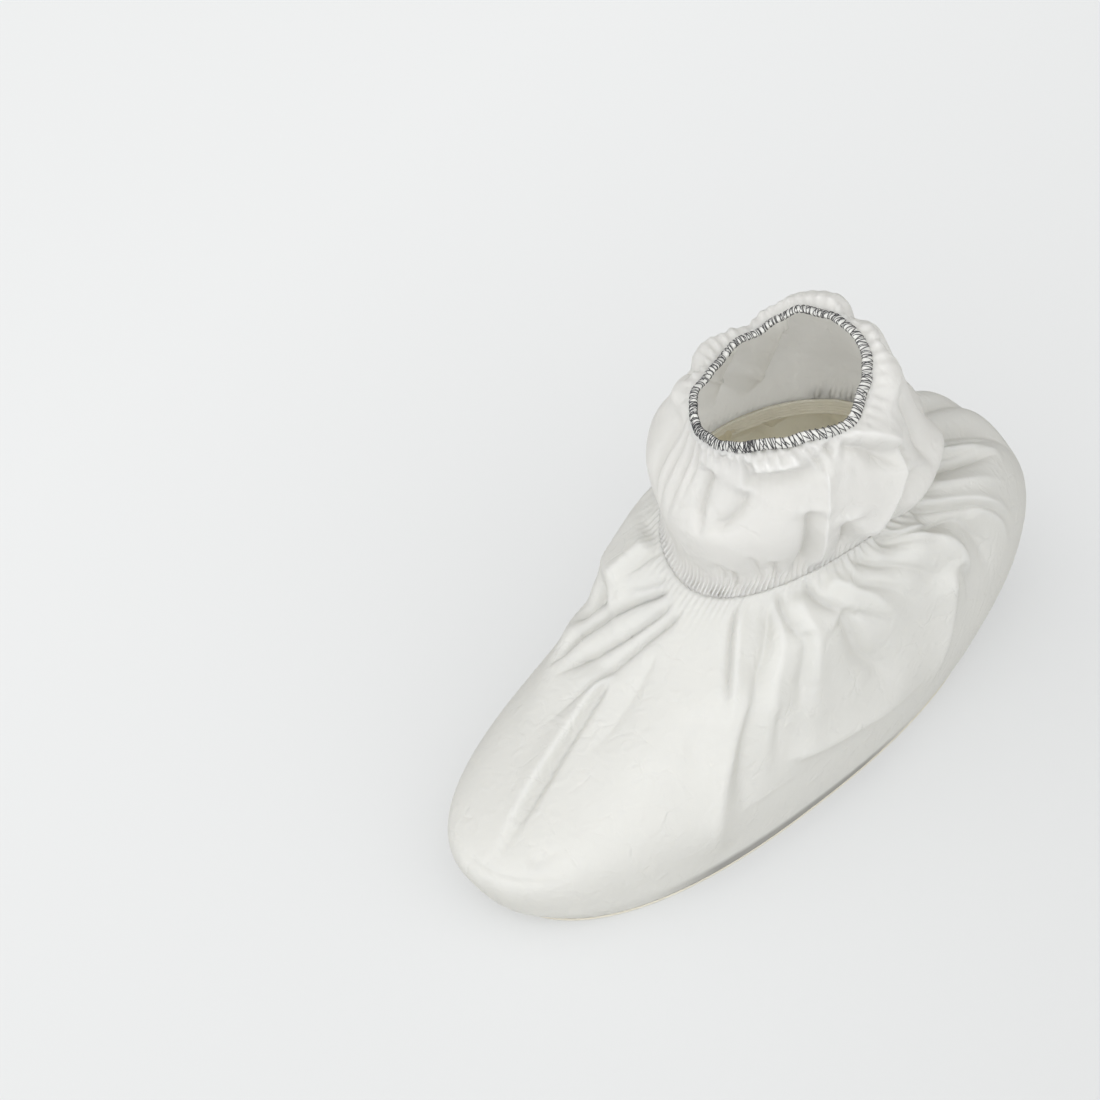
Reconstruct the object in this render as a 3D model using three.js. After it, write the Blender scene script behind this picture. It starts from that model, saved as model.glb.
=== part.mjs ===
// Shoe cover of thin nonwoven cloth: a flat sole panel, a hollow foot upper gathered at the ankle,
// a loose ankle cuff, the elastic tape inside the ankle seam and the elastic roll at the cuff's hem.
// Millimetres, +Z up, toe towards -Y, near side towards +X. The cover rests on its sole at z = 0.

import * as THREE from 'three';

// Driving sizes
const CLOTH_WALL = 1.4;
const SOLE_THICKNESS = 1.6;
const PIECE_GAP = 0.35;
const TAPE_WIDTH = 9;
const TAPE_THICKNESS = 1.2;
const TAPE_DROP = 4;
const HEM_WIDTH = 5.5;
const HEM_THICKNESS = 3;

// Faces along each piece
const UPPER_COLUMNS = 96;
const UPPER_ROWS = 17;
const CUFF_COLUMNS = 72;
const CUFF_ROWS = 12;
const HEM_COLUMNS = 60;
const HEM_SIDES = 8;
const TAPE_COLUMNS = 48;

// Sections of the cloth, lowest first. toe and heel are distances from the toe's reference line,
// near and far the half widths, zToe, zSide and zHeel the heights at toe, sides and heel.
// square under 1 fills the oval's corners, and egg over 0 widens its toe half.
const SOLE_SECTION = {
  toe: 18, heel: 332, near: 62, far: 56, zToe: 0, zSide: 0, zHeel: 0, square: 0.87, egg: 0.08,
};
const ANKLE_SECTION = {
  toe: 138, heel: 282, near: 50, far: 49, zToe: 125, zSide: 139, zHeel: 150, square: 1, egg: 0,
};
const HEM_SECTION = {
  toe: 144, heel: 238, near: 41, far: 34, zToe: 213, zSide: 219, zHeel: 238, square: 0.99, egg: -0.2,
};
const UPPER_SECTIONS = [
  SOLE_SECTION,
  { toe: 5, heel: 346, near: 66, far: 64, zToe: 13, zSide: 16, zHeel: 24, square: 0.88, egg: 0.03 },
  { toe: -1, heel: 358, near: 69, far: 69, zToe: 39, zSide: 45, zHeel: 53, square: 0.89, egg: -0.03 },
  { toe: 37, heel: 354, near: 67, far: 63, zToe: 58, zSide: 86, zHeel: 84, square: 0.91, egg: -0.1 },
  { toe: 89, heel: 332, near: 62, far: 67, zToe: 87, zSide: 124, zHeel: 120, square: 0.95, egg: -0.07 },
  ANKLE_SECTION,
];
const CUFF_SECTIONS = [
  ANKLE_SECTION,
  { toe: 134, heel: 280, near: 53, far: 55, zToe: 136, zSide: 157, zHeel: 166, square: 1, egg: 0 },
  { toe: 134, heel: 269, near: 56, far: 61, zToe: 167, zSide: 180, zHeel: 187, square: 1, egg: 0 },
  { toe: 142, heel: 249, near: 50, far: 49, zToe: 197, zSide: 207, zHeel: 230, square: 0.99, egg: -0.16 },
  HEM_SECTION,
];

// Folds run through three places on the cloth, each an angle in degrees, from the toe (0) by the near
// side (90) to the heel (180), and a share of the way up. left and right are the half widths seen from
// outside while going along the fold, and flare is how many times wider the fold is at its end.
// depth over 0 is a ridge, and under 0 a valley.
const UPPER_FOLDS = [
  { from: [352, 0.96], by: [335, 0.86], to: [304, 0.68], left: 8, right: 8, flare: 1, depth: -7 },
  { from: [357, 0.95], by: [343, 0.86], to: [326, 0.7], left: 8, right: 8, flare: 1.4, depth: -4 },
  { from: [1, 0.93], by: [348, 0.81], to: [345, 0.48], left: 8, right: 8, flare: 1.5, depth: -4 },
  { from: [350, 0.85], by: [356, 0.68], to: [4, 0.4], left: 8, right: 10, flare: 1, depth: 5 },
  { from: [326, 0.97], by: [316, 0.86], to: [300, 0.7], left: 12, right: 12, flare: 1, depth: 10 },
  { from: [354, 0.39], by: [12, 0.4], to: [36, 0.38], left: 8, right: 8, flare: 1, depth: -3 },
  { from: [60, 0.62], by: [64, 0.48], to: [60, 0.22], left: 8, right: 12, flare: 1, depth: 5 },
  { from: [49, 0.96], by: [62, 0.64], to: [74, 0.1], left: 8, right: 8, flare: 2.5, depth: -7 },
  { from: [54, 0.95], by: [67, 0.68], to: [80, 0.32], left: 8, right: 8, flare: 1.4, depth: 6 },
  { from: [63, 0.9], by: [71, 0.76], to: [79, 0.54], left: 8, right: 8, flare: 1.3, depth: -5 },
  { from: [66, 0.98], by: [77, 0.81], to: [89, 0.5], left: 8, right: 8, flare: 1, depth: 6 },
  { from: [74, 0.86], by: [86, 0.7], to: [100, 0.46], left: 8, right: 8, flare: 1.6, depth: -7 },
  { from: [79, 0.99], by: [93, 0.83], to: [108, 0.61], left: 8, right: 8, flare: 1.3, depth: -5 },
  { from: [96, 0.95], by: [110, 0.78], to: [120, 0.5], left: 8, right: 14, flare: 1, depth: 8 },
  { from: [102, 0.74], by: [107, 0.53], to: [108, 0.24], left: 8, right: 12, flare: 1, depth: 6 },
  { from: [76, 0.48], by: [93, 0.42], to: [112, 0.3], left: 12, right: 8, flare: 1, depth: 4 },
  { from: [107, 0.93], by: [117, 0.79], to: [126, 0.55], left: 8, right: 8, flare: 1, depth: -7 },
  { from: [112, 0.99], by: [124, 0.865], to: [139, 0.66], left: 8, right: 8, flare: 1, depth: -6 },
  { from: [132, 1], by: [141, 0.91], to: [151, 0.76], left: 8, right: 8, flare: 1, depth: -6 },
  { from: [150, 1], by: [154, 0.9], to: [153, 0.68], left: 8, right: 8, flare: 1, depth: 6 },
  { from: [169, 1], by: [168, 0.86], to: [164, 0.58], left: 12, right: 12, flare: 1, depth: -10 },
  { from: [188, 0.99], by: [187, 0.84], to: [184, 0.56], left: 8, right: 8, flare: 1.5, depth: -7 },
  { from: [207, 0.99], by: [205, 0.82], to: [202, 0.5], left: 8, right: 8, flare: 1.6, depth: -7 },
  { from: [229, 0.99], by: [219, 0.8], to: [209, 0.44], left: 8, right: 8, flare: 1.7, depth: -7 },
  { from: [251, 0.99], by: [237, 0.77], to: [223, 0.36], left: 8, right: 8, flare: 1.7, depth: -7 },
  { from: [272, 0.99], by: [256, 0.8], to: [242, 0.4], left: 8, right: 8, flare: 1.7, depth: -7 },
  { from: [294, 0.99], by: [278, 0.8], to: [264, 0.42], left: 8, right: 8, flare: 1.7, depth: -7 },
];
const CUFF_FOLDS = [
  { from: [8, 0.8], by: [6, 0.63], to: [11, 0.48], left: 8, right: 8, flare: 1, depth: -4 },
  { from: [33, 0.73], by: [24, 0.6], to: [9, 0.54], left: 8, right: 8, flare: 1, depth: -4 },
  { from: [28, 0.77], by: [50, 0.775], to: [70, 0.75], left: 8, right: 8, flare: 1, depth: -5 },
  { from: [32, 0.88], by: [50, 0.88], to: [68, 0.86], left: 8, right: 8, flare: 1, depth: 5 },
  { from: [61, 0.72], by: [61, 0.42], to: [53, 0], left: 8, right: 8, flare: 1, depth: -7 },
  { from: [74, 0.86], by: [67, 0.5], to: [61, 0], left: 8, right: 8, flare: 1, depth: 5 },
  { from: [77, 0.5], by: [74.5, 0.28], to: [74, 0.02], left: 8, right: 8, flare: 1, depth: -5 },
  { from: [88, 0.88], by: [97, 0.74], to: [109, 0.56], left: 8, right: 8, flare: 1, depth: -5 },
  { from: [97, 0.9], by: [107, 0.76], to: [118, 0.53], left: 8, right: 8, flare: 1, depth: 5 },
  { from: [111, 0.65], by: [95, 0.44], to: [76, 0.22], left: 8, right: 12, flare: 1, depth: 7 },
  { from: [117, 0.46], by: [102, 0.3], to: [84, 0.1], left: 8, right: 8, flare: 1, depth: -7 },
  { from: [134, 0.82], by: [128, 0.45], to: [122, 0.08], left: 8, right: 8, flare: 1, depth: -7 },
  { from: [158, 0.94], by: [154, 0.52], to: [150, 0.08], left: 8, right: 8, flare: 1, depth: -6 },
  { from: [166, 0.97], by: [166, 0.86], to: [166, 0.6], left: 10, right: 10, flare: 1, depth: 3 },
  { from: [190, 0.99], by: [190, 0.8], to: [188, 0.36], left: 8, right: 8, flare: 1.6, depth: -6 },
  { from: [216, 0.97], by: [216, 0.87], to: [216, 0.62], left: 13, right: 13, flare: 1, depth: 2 },
  { from: [243, 0.99], by: [244, 0.72], to: [258, 0.1], left: 8, right: 8, flare: 2, depth: -7 },
  { from: [267, 0.97], by: [267, 0.86], to: [267, 0.6], left: 10, right: 10, flare: 1, depth: 4 },
  { from: [289, 0.97], by: [288, 0.68], to: [286, 0.14], left: 8, right: 8, flare: 1.6, depth: -7 },
  { from: [312, 0.82], by: [330, 0.5], to: [345, 0.1], left: 8, right: 8, flare: 1, depth: -5 },
];

// Radians that the upper's threads turn towards the heel between the ankle seam and the side walls
const UPPER_FLOW = 0.52;
const FLOW_END = 0.45;

// Gathers: pleats that fade away from the ankle seam and from the hem
const ANKLE_PLEATS = 18;
const ANKLE_PLEAT_DEPTH = 1.6;
const ANKLE_PLEAT_REACH = 26;
const HEM_PLEATS = 18;
const HEM_PLEAT_DEPTH = 1.8;
const HEM_PLEAT_REACH = 22;
const SEAM_FLAT = 8;
const SOLE_FLAT = 0.1;

// Finish
const CLOTH_WHITE = { color: 0xe6e6e1, roughness: 0.72, metalness: 0 };
const CUFF_WHITE = { color: 0xe4e6e6, roughness: 0.7, metalness: 0 };
const SOLE_WHITE = { color: 0xd6d6d1, roughness: 0.78, metalness: 0 };
const TAPE_WHITE = { color: 0xe2dfd2, roughness: 0.8, metalness: 0 };
const HEM_GREY = { color: 0x6e6f72, roughness: 0.85, metalness: 0 };

// A fold swells over its first stretch, fades after the second share and ends at 1.
// Across, it falls off from a crest whose roundness is a share of its width.
const FOLD_SAMPLES = 24;
const FOLD_SWELL = 0.2;
const FOLD_FADE = 0.45;
const FOLD_CREST = 0.45;
const FOLD_FALL = 1.3;

// Half step in radians or share for slopes of the cloth
const STEP = 1e-3;

const smooth = (low, high, value) => THREE.MathUtils.smoothstep(value, low, high);

/** Place on one section at an angle in radians. */
function sectionPoint(section, angle) {
  const cosine = Math.cos(angle);
  const sine = Math.sin(angle);
  const along = Math.sign(cosine) * Math.abs(cosine) ** section.square;
  const across = Math.sign(sine) * Math.abs(sine) ** section.square;
  const half = sine > 0 ? section.near : section.far;
  const end = cosine > 0 ? section.zToe : section.zHeel;
  return new THREE.Vector3(
    half * across * (1 + section.egg * cosine),
    (section.toe + section.heel) / 2 - ((section.heel - section.toe) / 2) * along,
    section.zSide * sine * sine + end * cosine * cosine,
  );
}

/** Smooth cloth through a list of sections: place at an angle and a share of the way up. */
function clothPoint(sections, angle, up) {
  const last = sections.length - 1;
  const place = THREE.MathUtils.clamp(up, 0, 1) * last;
  const index = Math.min(Math.floor(place), last - 1);
  const share = place - index;
  const here = sectionPoint(sections[index], angle);
  const next = sectionPoint(sections[index + 1], angle);
  const mirrored = (edge, inner) => edge.clone().multiplyScalar(2).sub(inner);
  const before = index > 0 ? sectionPoint(sections[index - 1], angle) : mirrored(here, next);
  const after = index + 2 <= last ? sectionPoint(sections[index + 2], angle) : mirrored(next, here);
  const spline = (a, b, c, d) => {
    const tangentB = (c - a) / 2;
    const tangentC = (d - b) / 2;
    const square = share * share;
    const cube = square * share;
    return (2 * cube - 3 * square + 1) * b + (cube - 2 * square + share) * tangentB
      + (3 * square - 2 * cube) * c + (cube - square) * tangentC;
  };
  return new THREE.Vector3(
    spline(before.x, here.x, next.x, after.x),
    spline(before.y, here.y, next.y, after.y),
    spline(before.z, here.z, next.z, after.z),
  );
}

/** Direction up the cloth at a place. */
function clothRise(sections, angle, up) {
  const above = clothPoint(sections, angle, Math.min(up + STEP, 1));
  return above.sub(clothPoint(sections, angle, Math.max(up - STEP, 0))).normalize();
}

/** Outward normal of the smooth cloth at a place. */
function clothNormal(sections, angle, up) {
  const ahead = clothPoint(sections, angle + STEP, up).sub(clothPoint(sections, angle - STEP, up));
  return ahead.cross(clothRise(sections, angle, up)).normalize();
}

/** Points, directions and normals along one fold's line on the cloth. */
function foldLine(sections, fold) {
  const [fromAngle, fromUp] = fold.from;
  const [byAngle, byUp] = fold.by;
  const [toAngle, toUp] = fold.to;
  const turn = (angle) => fromAngle + ((((angle - fromAngle) % 360) + 540) % 360) - 180;
  const bend = (a, b, c, share) => {
    const control = 2 * b - (a + c) / 2;
    return (1 - share) ** 2 * a + 2 * share * (1 - share) * control + share ** 2 * c;
  };
  const places = Array.from({ length: FOLD_SAMPLES + 1 }, (_, sample) => {
    const share = sample / FOLD_SAMPLES;
    const angle = THREE.MathUtils.degToRad(bend(fromAngle, turn(byAngle), turn(toAngle), share));
    const up = bend(fromUp, byUp, toUp, share);
    return { share, point: clothPoint(sections, angle, up), normal: clothNormal(sections, angle, up) };
  });
  places.forEach((place, sample) => {
    const next = places[Math.min(sample + 1, FOLD_SAMPLES)].point;
    const previous = places[Math.max(sample - 1, 0)].point;
    place.left = place.normal.clone().cross(next.clone().sub(previous)).normalize();
  });
  return { ...fold, places };
}

/** Height that one fold adds at a point of the cloth. */
function foldHeight(fold, point) {
  let nearest = fold.places[0];
  let distance = Infinity;
  for (const place of fold.places) {
    const apart = place.point.distanceTo(point);
    if (apart < distance) {
      distance = apart;
      nearest = place;
    }
  }
  const onLeft = point.clone().sub(nearest.point).dot(nearest.left) > 0;
  const width = (onLeft ? fold.left : fold.right) * (1 + (fold.flare - 1) * nearest.share);
  const swell = smooth(0, FOLD_SWELL, nearest.share) * (1 - smooth(FOLD_FADE, 1, nearest.share));
  const fall = FOLD_FALL * (FOLD_CREST - Math.hypot(distance / width, FOLD_CREST));
  return fold.depth * swell * Math.exp(fall);
}

/** Height that pleats add at a distance from the seam that gathers them. */
function pleatHeight(pleats, depth, reach, angle, distance) {
  return depth * Math.cos(pleats * angle) * Math.exp(-distance / reach) * smooth(0, SEAM_FLAT, distance);
}

/** Closed wall of cloth between two edges, with its outer face moved by a height function. */
function clothWall({ sections, columns, rows, flow, lift, height }) {
  const outer = [];
  const inner = [];
  for (let row = 0; row < rows; row += 1) {
    const up = row / (rows - 1);
    for (let column = 0; column < columns; column += 1) {
      const thread = (column / columns) * Math.PI * 2;
      const angle = thread + flow * Math.sin(thread) * (1 - smooth(FLOW_END, 1, up));
      const base = clothPoint(sections, angle, up);
      const normal = clothNormal(sections, angle, up);
      const face = base.clone().addScaledVector(normal, height(base, thread, up));
      face.z += lift;
      outer.push(face);
      inner.push(face.clone().addScaledVector(normal, -CLOTH_WALL));
    }
  }
  const positions = [...outer, ...inner].flatMap((point) => point.toArray());
  const inside = outer.length;
  const indices = [];
  const quad = (a, b, c, d) => indices.push(a, b, c, a, c, d);
  const innerQuad = (a, b, c, d) => indices.push(a, c, b, a, d, c);
  for (let column = 0; column < columns; column += 1) {
    const next = (column + 1) % columns;
    for (let row = 0; row + 1 < rows; row += 1) {
      const low = row * columns;
      const high = low + columns;
      quad(low + column, low + next, high + next, high + column);
      innerQuad(inside + low + column, inside + low + next, inside + high + next, inside + high + column);
    }
    const top = (rows - 1) * columns;
    quad(column, inside + column, inside + next, next);
    quad(top + column, top + next, inside + top + next, inside + top + column);
  }
  return solidGeometry(positions, indices);
}

/** Closed ring swept round the cover: each station gives the corners of its section. */
function sweptRing(stations) {
  const sides = stations[0].length;
  const positions = stations.flat().flatMap((point) => point.toArray());
  const indices = [];
  stations.forEach((_, station) => {
    const here = station * sides;
    const next = ((station + 1) % stations.length) * sides;
    for (let side = 0; side < sides; side += 1) {
      const turn = (side + 1) % sides;
      indices.push(here + side, next + side, next + turn, here + side, next + turn, here + turn);
    }
  });
  return solidGeometry(positions, indices);
}

/** Indexed geometry from flat lists of places and corners. */
function solidGeometry(positions, indices) {
  const geometry = new THREE.BufferGeometry();
  geometry.setAttribute('position', new THREE.Float32BufferAttribute(positions, 3));
  geometry.setIndex(indices);
  geometry.computeVertexNormals();
  return geometry;
}

/** Angles of evenly spaced stations round the cover. */
function stationAngles(count) {
  return Array.from({ length: count }, (_, station) => (station / count) * Math.PI * 2);
}

/** Flat panel under the foot. */
function soleGeometry() {
  const outline = stationAngles(UPPER_COLUMNS).map((angle) => {
    const point = sectionPoint(SOLE_SECTION, angle);
    return new THREE.Vector2(point.x, point.y);
  });
  return new THREE.ExtrudeGeometry(new THREE.Shape(outline), { depth: SOLE_THICKNESS, bevelEnabled: false });
}

/** Hollow foot bag, folded where the ankle seam gathers it. */
function upperGeometry() {
  const folds = UPPER_FOLDS.map((fold) => foldLine(UPPER_SECTIONS, fold));
  const height = (base, thread, up) => {
    const folded = folds.reduce((sum, fold) => sum + foldHeight(fold, base), 0);
    const distance = base.distanceTo(sectionPoint(ANKLE_SECTION, thread));
    const edge = smooth(0, SOLE_FLAT, up) * smooth(0, SEAM_FLAT, distance);
    return folded * edge + pleatHeight(ANKLE_PLEATS, ANKLE_PLEAT_DEPTH, ANKLE_PLEAT_REACH, thread, distance);
  };
  return clothWall({
    sections: UPPER_SECTIONS,
    columns: UPPER_COLUMNS,
    rows: UPPER_ROWS,
    flow: UPPER_FLOW,
    lift: SOLE_THICKNESS + PIECE_GAP,
    height,
  });
}

/** Loose tube round the ankle, gathered at the ankle seam and at its hem. */
function cuffGeometry() {
  const folds = CUFF_FOLDS.map((fold) => foldLine(CUFF_SECTIONS, fold));
  const height = (base, thread) => {
    const folded = folds.reduce((sum, fold) => sum + foldHeight(fold, base), 0);
    const fromAnkle = base.distanceTo(sectionPoint(ANKLE_SECTION, thread));
    const fromHem = base.distanceTo(sectionPoint(HEM_SECTION, thread));
    const edge = smooth(0, SEAM_FLAT, fromAnkle) * smooth(0, SEAM_FLAT, fromHem);
    return folded * edge
      + pleatHeight(ANKLE_PLEATS, ANKLE_PLEAT_DEPTH, ANKLE_PLEAT_REACH, thread, fromAnkle)
      + pleatHeight(HEM_PLEATS, HEM_PLEAT_DEPTH, HEM_PLEAT_REACH, thread, fromHem);
  };
  return clothWall({
    sections: CUFF_SECTIONS,
    columns: CUFF_COLUMNS,
    rows: CUFF_ROWS,
    flow: 0,
    lift: SOLE_THICKNESS + 2 * PIECE_GAP,
    height,
  });
}

/** Elastic tape standing inside the ankle seam. */
function tapeGeometry() {
  const stations = stationAngles(TAPE_COLUMNS).map((angle) => {
    const ring = sectionPoint(ANKLE_SECTION, angle);
    const ahead = sectionPoint(ANKLE_SECTION, angle + STEP).sub(sectionPoint(ANKLE_SECTION, angle - STEP));
    const outward = new THREE.Vector3(ahead.y, -ahead.x, 0).normalize();
    const middle = ring.z + SOLE_THICKNESS + PIECE_GAP - TAPE_DROP;
    const corner = (depth, rise) => {
      const point = ring.clone().addScaledVector(outward, -depth);
      point.z = middle + rise;
      return point;
    };
    const face = CLOTH_WALL + PIECE_GAP;
    const back = face + TAPE_THICKNESS;
    const half = TAPE_WIDTH / 2;
    return [corner(face, -half), corner(face, half), corner(back, half), corner(back, -half)];
  });
  return sweptRing(stations);
}

/** Rolled elastic edge that closes the cuff at the top. */
function hemGeometry() {
  const stations = stationAngles(HEM_COLUMNS).map((angle) => {
    const rise = clothRise(CUFF_SECTIONS, angle, 1);
    const normal = clothNormal(CUFF_SECTIONS, angle, 1);
    const middle = sectionPoint(HEM_SECTION, angle)
      .addScaledVector(rise, HEM_WIDTH / 2 + PIECE_GAP)
      .addScaledVector(normal, -CLOTH_WALL / 2);
    middle.z += SOLE_THICKNESS + 2 * PIECE_GAP;
    return stationAngles(HEM_SIDES).map((turn) => middle.clone()
      .addScaledVector(normal, Math.cos(turn) * HEM_THICKNESS / 2)
      .addScaledVector(rise, Math.sin(turn) * HEM_WIDTH / 2));
  });
  return sweptRing(stations);
}

/** Named piece with its own finish. */
function piece(name, geometry, finish) {
  const mesh = new THREE.Mesh(geometry, new THREE.MeshStandardMaterial(finish));
  mesh.name = name;
  return mesh;
}

const cover = new THREE.Group();
cover.add(
  piece('sole_panel', soleGeometry(), SOLE_WHITE),
  piece('foot_upper', upperGeometry(), CLOTH_WHITE),
  piece('ankle_cuff', cuffGeometry(), CUFF_WHITE),
  piece('ankle_elastic', tapeGeometry(), TAPE_WHITE),
  piece('hem_roll', hemGeometry(), HEM_GREY),
);

// The origin lies on the floor under the middle of the cover's box.
const box = new THREE.Box3().setFromObject(cover);
const middle = box.getCenter(new THREE.Vector3());
cover.position.set(-middle.x, -middle.y, -box.min.z);

export default cover;
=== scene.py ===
"""Shoe cover of white nonwoven cloth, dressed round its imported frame.

The cloth pieces are lofted through a few sections, folded along charted lines, and then left to settle as
cloth with spare length, so that the gathers at the ankle seam and at the hem wrinkle as sewn cloth does.
"""

import logging
import math
from dataclasses import astuple, dataclass, field
from enum import Enum
from typing import ClassVar

import bpy
import numpy as np
from mathutils import Matrix, Vector
from numpy.typing import NDArray


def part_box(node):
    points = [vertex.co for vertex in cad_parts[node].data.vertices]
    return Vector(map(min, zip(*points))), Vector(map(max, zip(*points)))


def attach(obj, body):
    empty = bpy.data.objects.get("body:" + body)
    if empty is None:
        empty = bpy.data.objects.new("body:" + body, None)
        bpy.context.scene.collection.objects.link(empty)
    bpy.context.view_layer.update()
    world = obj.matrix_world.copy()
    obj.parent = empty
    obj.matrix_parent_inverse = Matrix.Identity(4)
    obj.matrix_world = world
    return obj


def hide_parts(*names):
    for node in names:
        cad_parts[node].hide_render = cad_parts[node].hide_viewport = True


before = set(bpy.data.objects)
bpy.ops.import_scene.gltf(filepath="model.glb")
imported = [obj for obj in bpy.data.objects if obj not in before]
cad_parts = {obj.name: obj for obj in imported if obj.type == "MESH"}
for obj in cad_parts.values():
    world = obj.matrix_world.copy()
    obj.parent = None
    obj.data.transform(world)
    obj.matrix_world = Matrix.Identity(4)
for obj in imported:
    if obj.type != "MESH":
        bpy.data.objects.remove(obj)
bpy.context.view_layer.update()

Array = NDArray[np.float64]
Index = NDArray[np.int_]
Springs = list[tuple[Index, Index, NDArray[np.float32], float]]
LOG = logging.getLogger("shoe_cover")
MM = 0.001
BODY = "root"
TURN = 2 * math.pi
SLOPE_STEP = 1e-3

# Sizes that the pieces share with the solids, in millimetres
SOLE_THICKNESS = 1.6
PIECE_GAP = 0.35
SOLID_WALL = 1.4
TAPE_WIDTH = 9.0
TAPE_THICKNESS = 1.2
TAPE_DROP = 4.0
HEM_WIDTH = 5.5
HEM_THICKNESS = 3.0

# Heights in millimetres that the foot bag and the cuff are raised by
UPPER_LIFT = SOLE_THICKNESS + PIECE_GAP
CUFF_LIFT = SOLE_THICKNESS + 2 * PIECE_GAP

# Lengths of the sewn edges in millimetres
SOLE_GIRTH = 722.0
ANKLE_GIRTH = 388.0
HEM_GIRTH = 267.0

# Thickness of the cloth, and the distance from a sewn edge within which folds die away, in millimetres
CLOTH_THICKNESS = 0.35
EDGE_EASE = 3.5


@dataclass(frozen=True)
class Section:
    """One level line of the cloth in millimetres.

    toe and heel are distances from the toe's reference line, near and far half widths, and the three
    heights lie at the toe, the sides and the heel. square under 1 fills the oval's corners, and egg over 0
    widens its toe half.
    """

    toe: float
    heel: float
    near: float
    far: float
    z_toe: float
    z_side: float
    z_heel: float
    square: float
    egg: float


SOLE_SECTION = Section(18, 332, 62, 56, 0, 0, 0, 0.87, 0.08)
ANKLE_SECTION = Section(138, 279, 46, 56, 125, 142, 143, 1, 0)
HEM_SECTION = Section(144, 234, 41, 34, 213, 219, 236, 0.99, -0.2)
UPPER_SECTIONS = [
    SOLE_SECTION,
    Section(5, 346, 66, 64, 13, 16, 24, 0.88, 0.03),
    Section(-1, 358, 69, 69, 39, 45, 53, 0.89, -0.03),
    Section(37, 354, 67, 63, 58, 86, 84, 0.91, -0.1),
    Section(89, 332, 62, 67, 87, 124, 120, 0.95, -0.07),
    ANKLE_SECTION,
]
CUFF_SECTIONS = [
    ANKLE_SECTION,
    Section(138, 280, 53, 56, 136, 157, 166, 1, 0),
    Section(133, 269, 56, 63, 167, 180, 187, 1, 0),
    Section(142, 249, 50, 49, 197, 207, 230, 0.99, -0.16),
    HEM_SECTION,
]


class FoldShape(Enum):
    """How a fold's height falls off to its sides."""

    SOFT = "soft"
    CRISP = "crisp"


@dataclass(frozen=True)
class Fold:
    """A fold through three places on the cloth.

    A place is an angle in degrees, from the toe (0) by the near side (90) to the heel (180), and a share of
    the way up. left and right are half widths in millimetres, seen from outside while going along the
    fold, and flare is how many times wider the fold is at its end. depth over 0 is a ridge, and under 0 a
    valley. From the share fade of its length, the fold dies away to its end.
    """

    start: tuple[float, float]
    by: tuple[float, float]
    end: tuple[float, float]
    left: float
    right: float
    depth: float
    flare: float = 1.0
    shape: FoldShape = FoldShape.SOFT
    fade: float = 0.45


@dataclass(frozen=True)
class StitchLine:
    """A sewn line on the cloth: a groove with puckers across it, sizes in millimetres."""

    start: tuple[float, float]
    by: tuple[float, float]
    end: tuple[float, float]
    groove: float
    width: float
    pucker: float
    pitch: float
    reach: float


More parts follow.
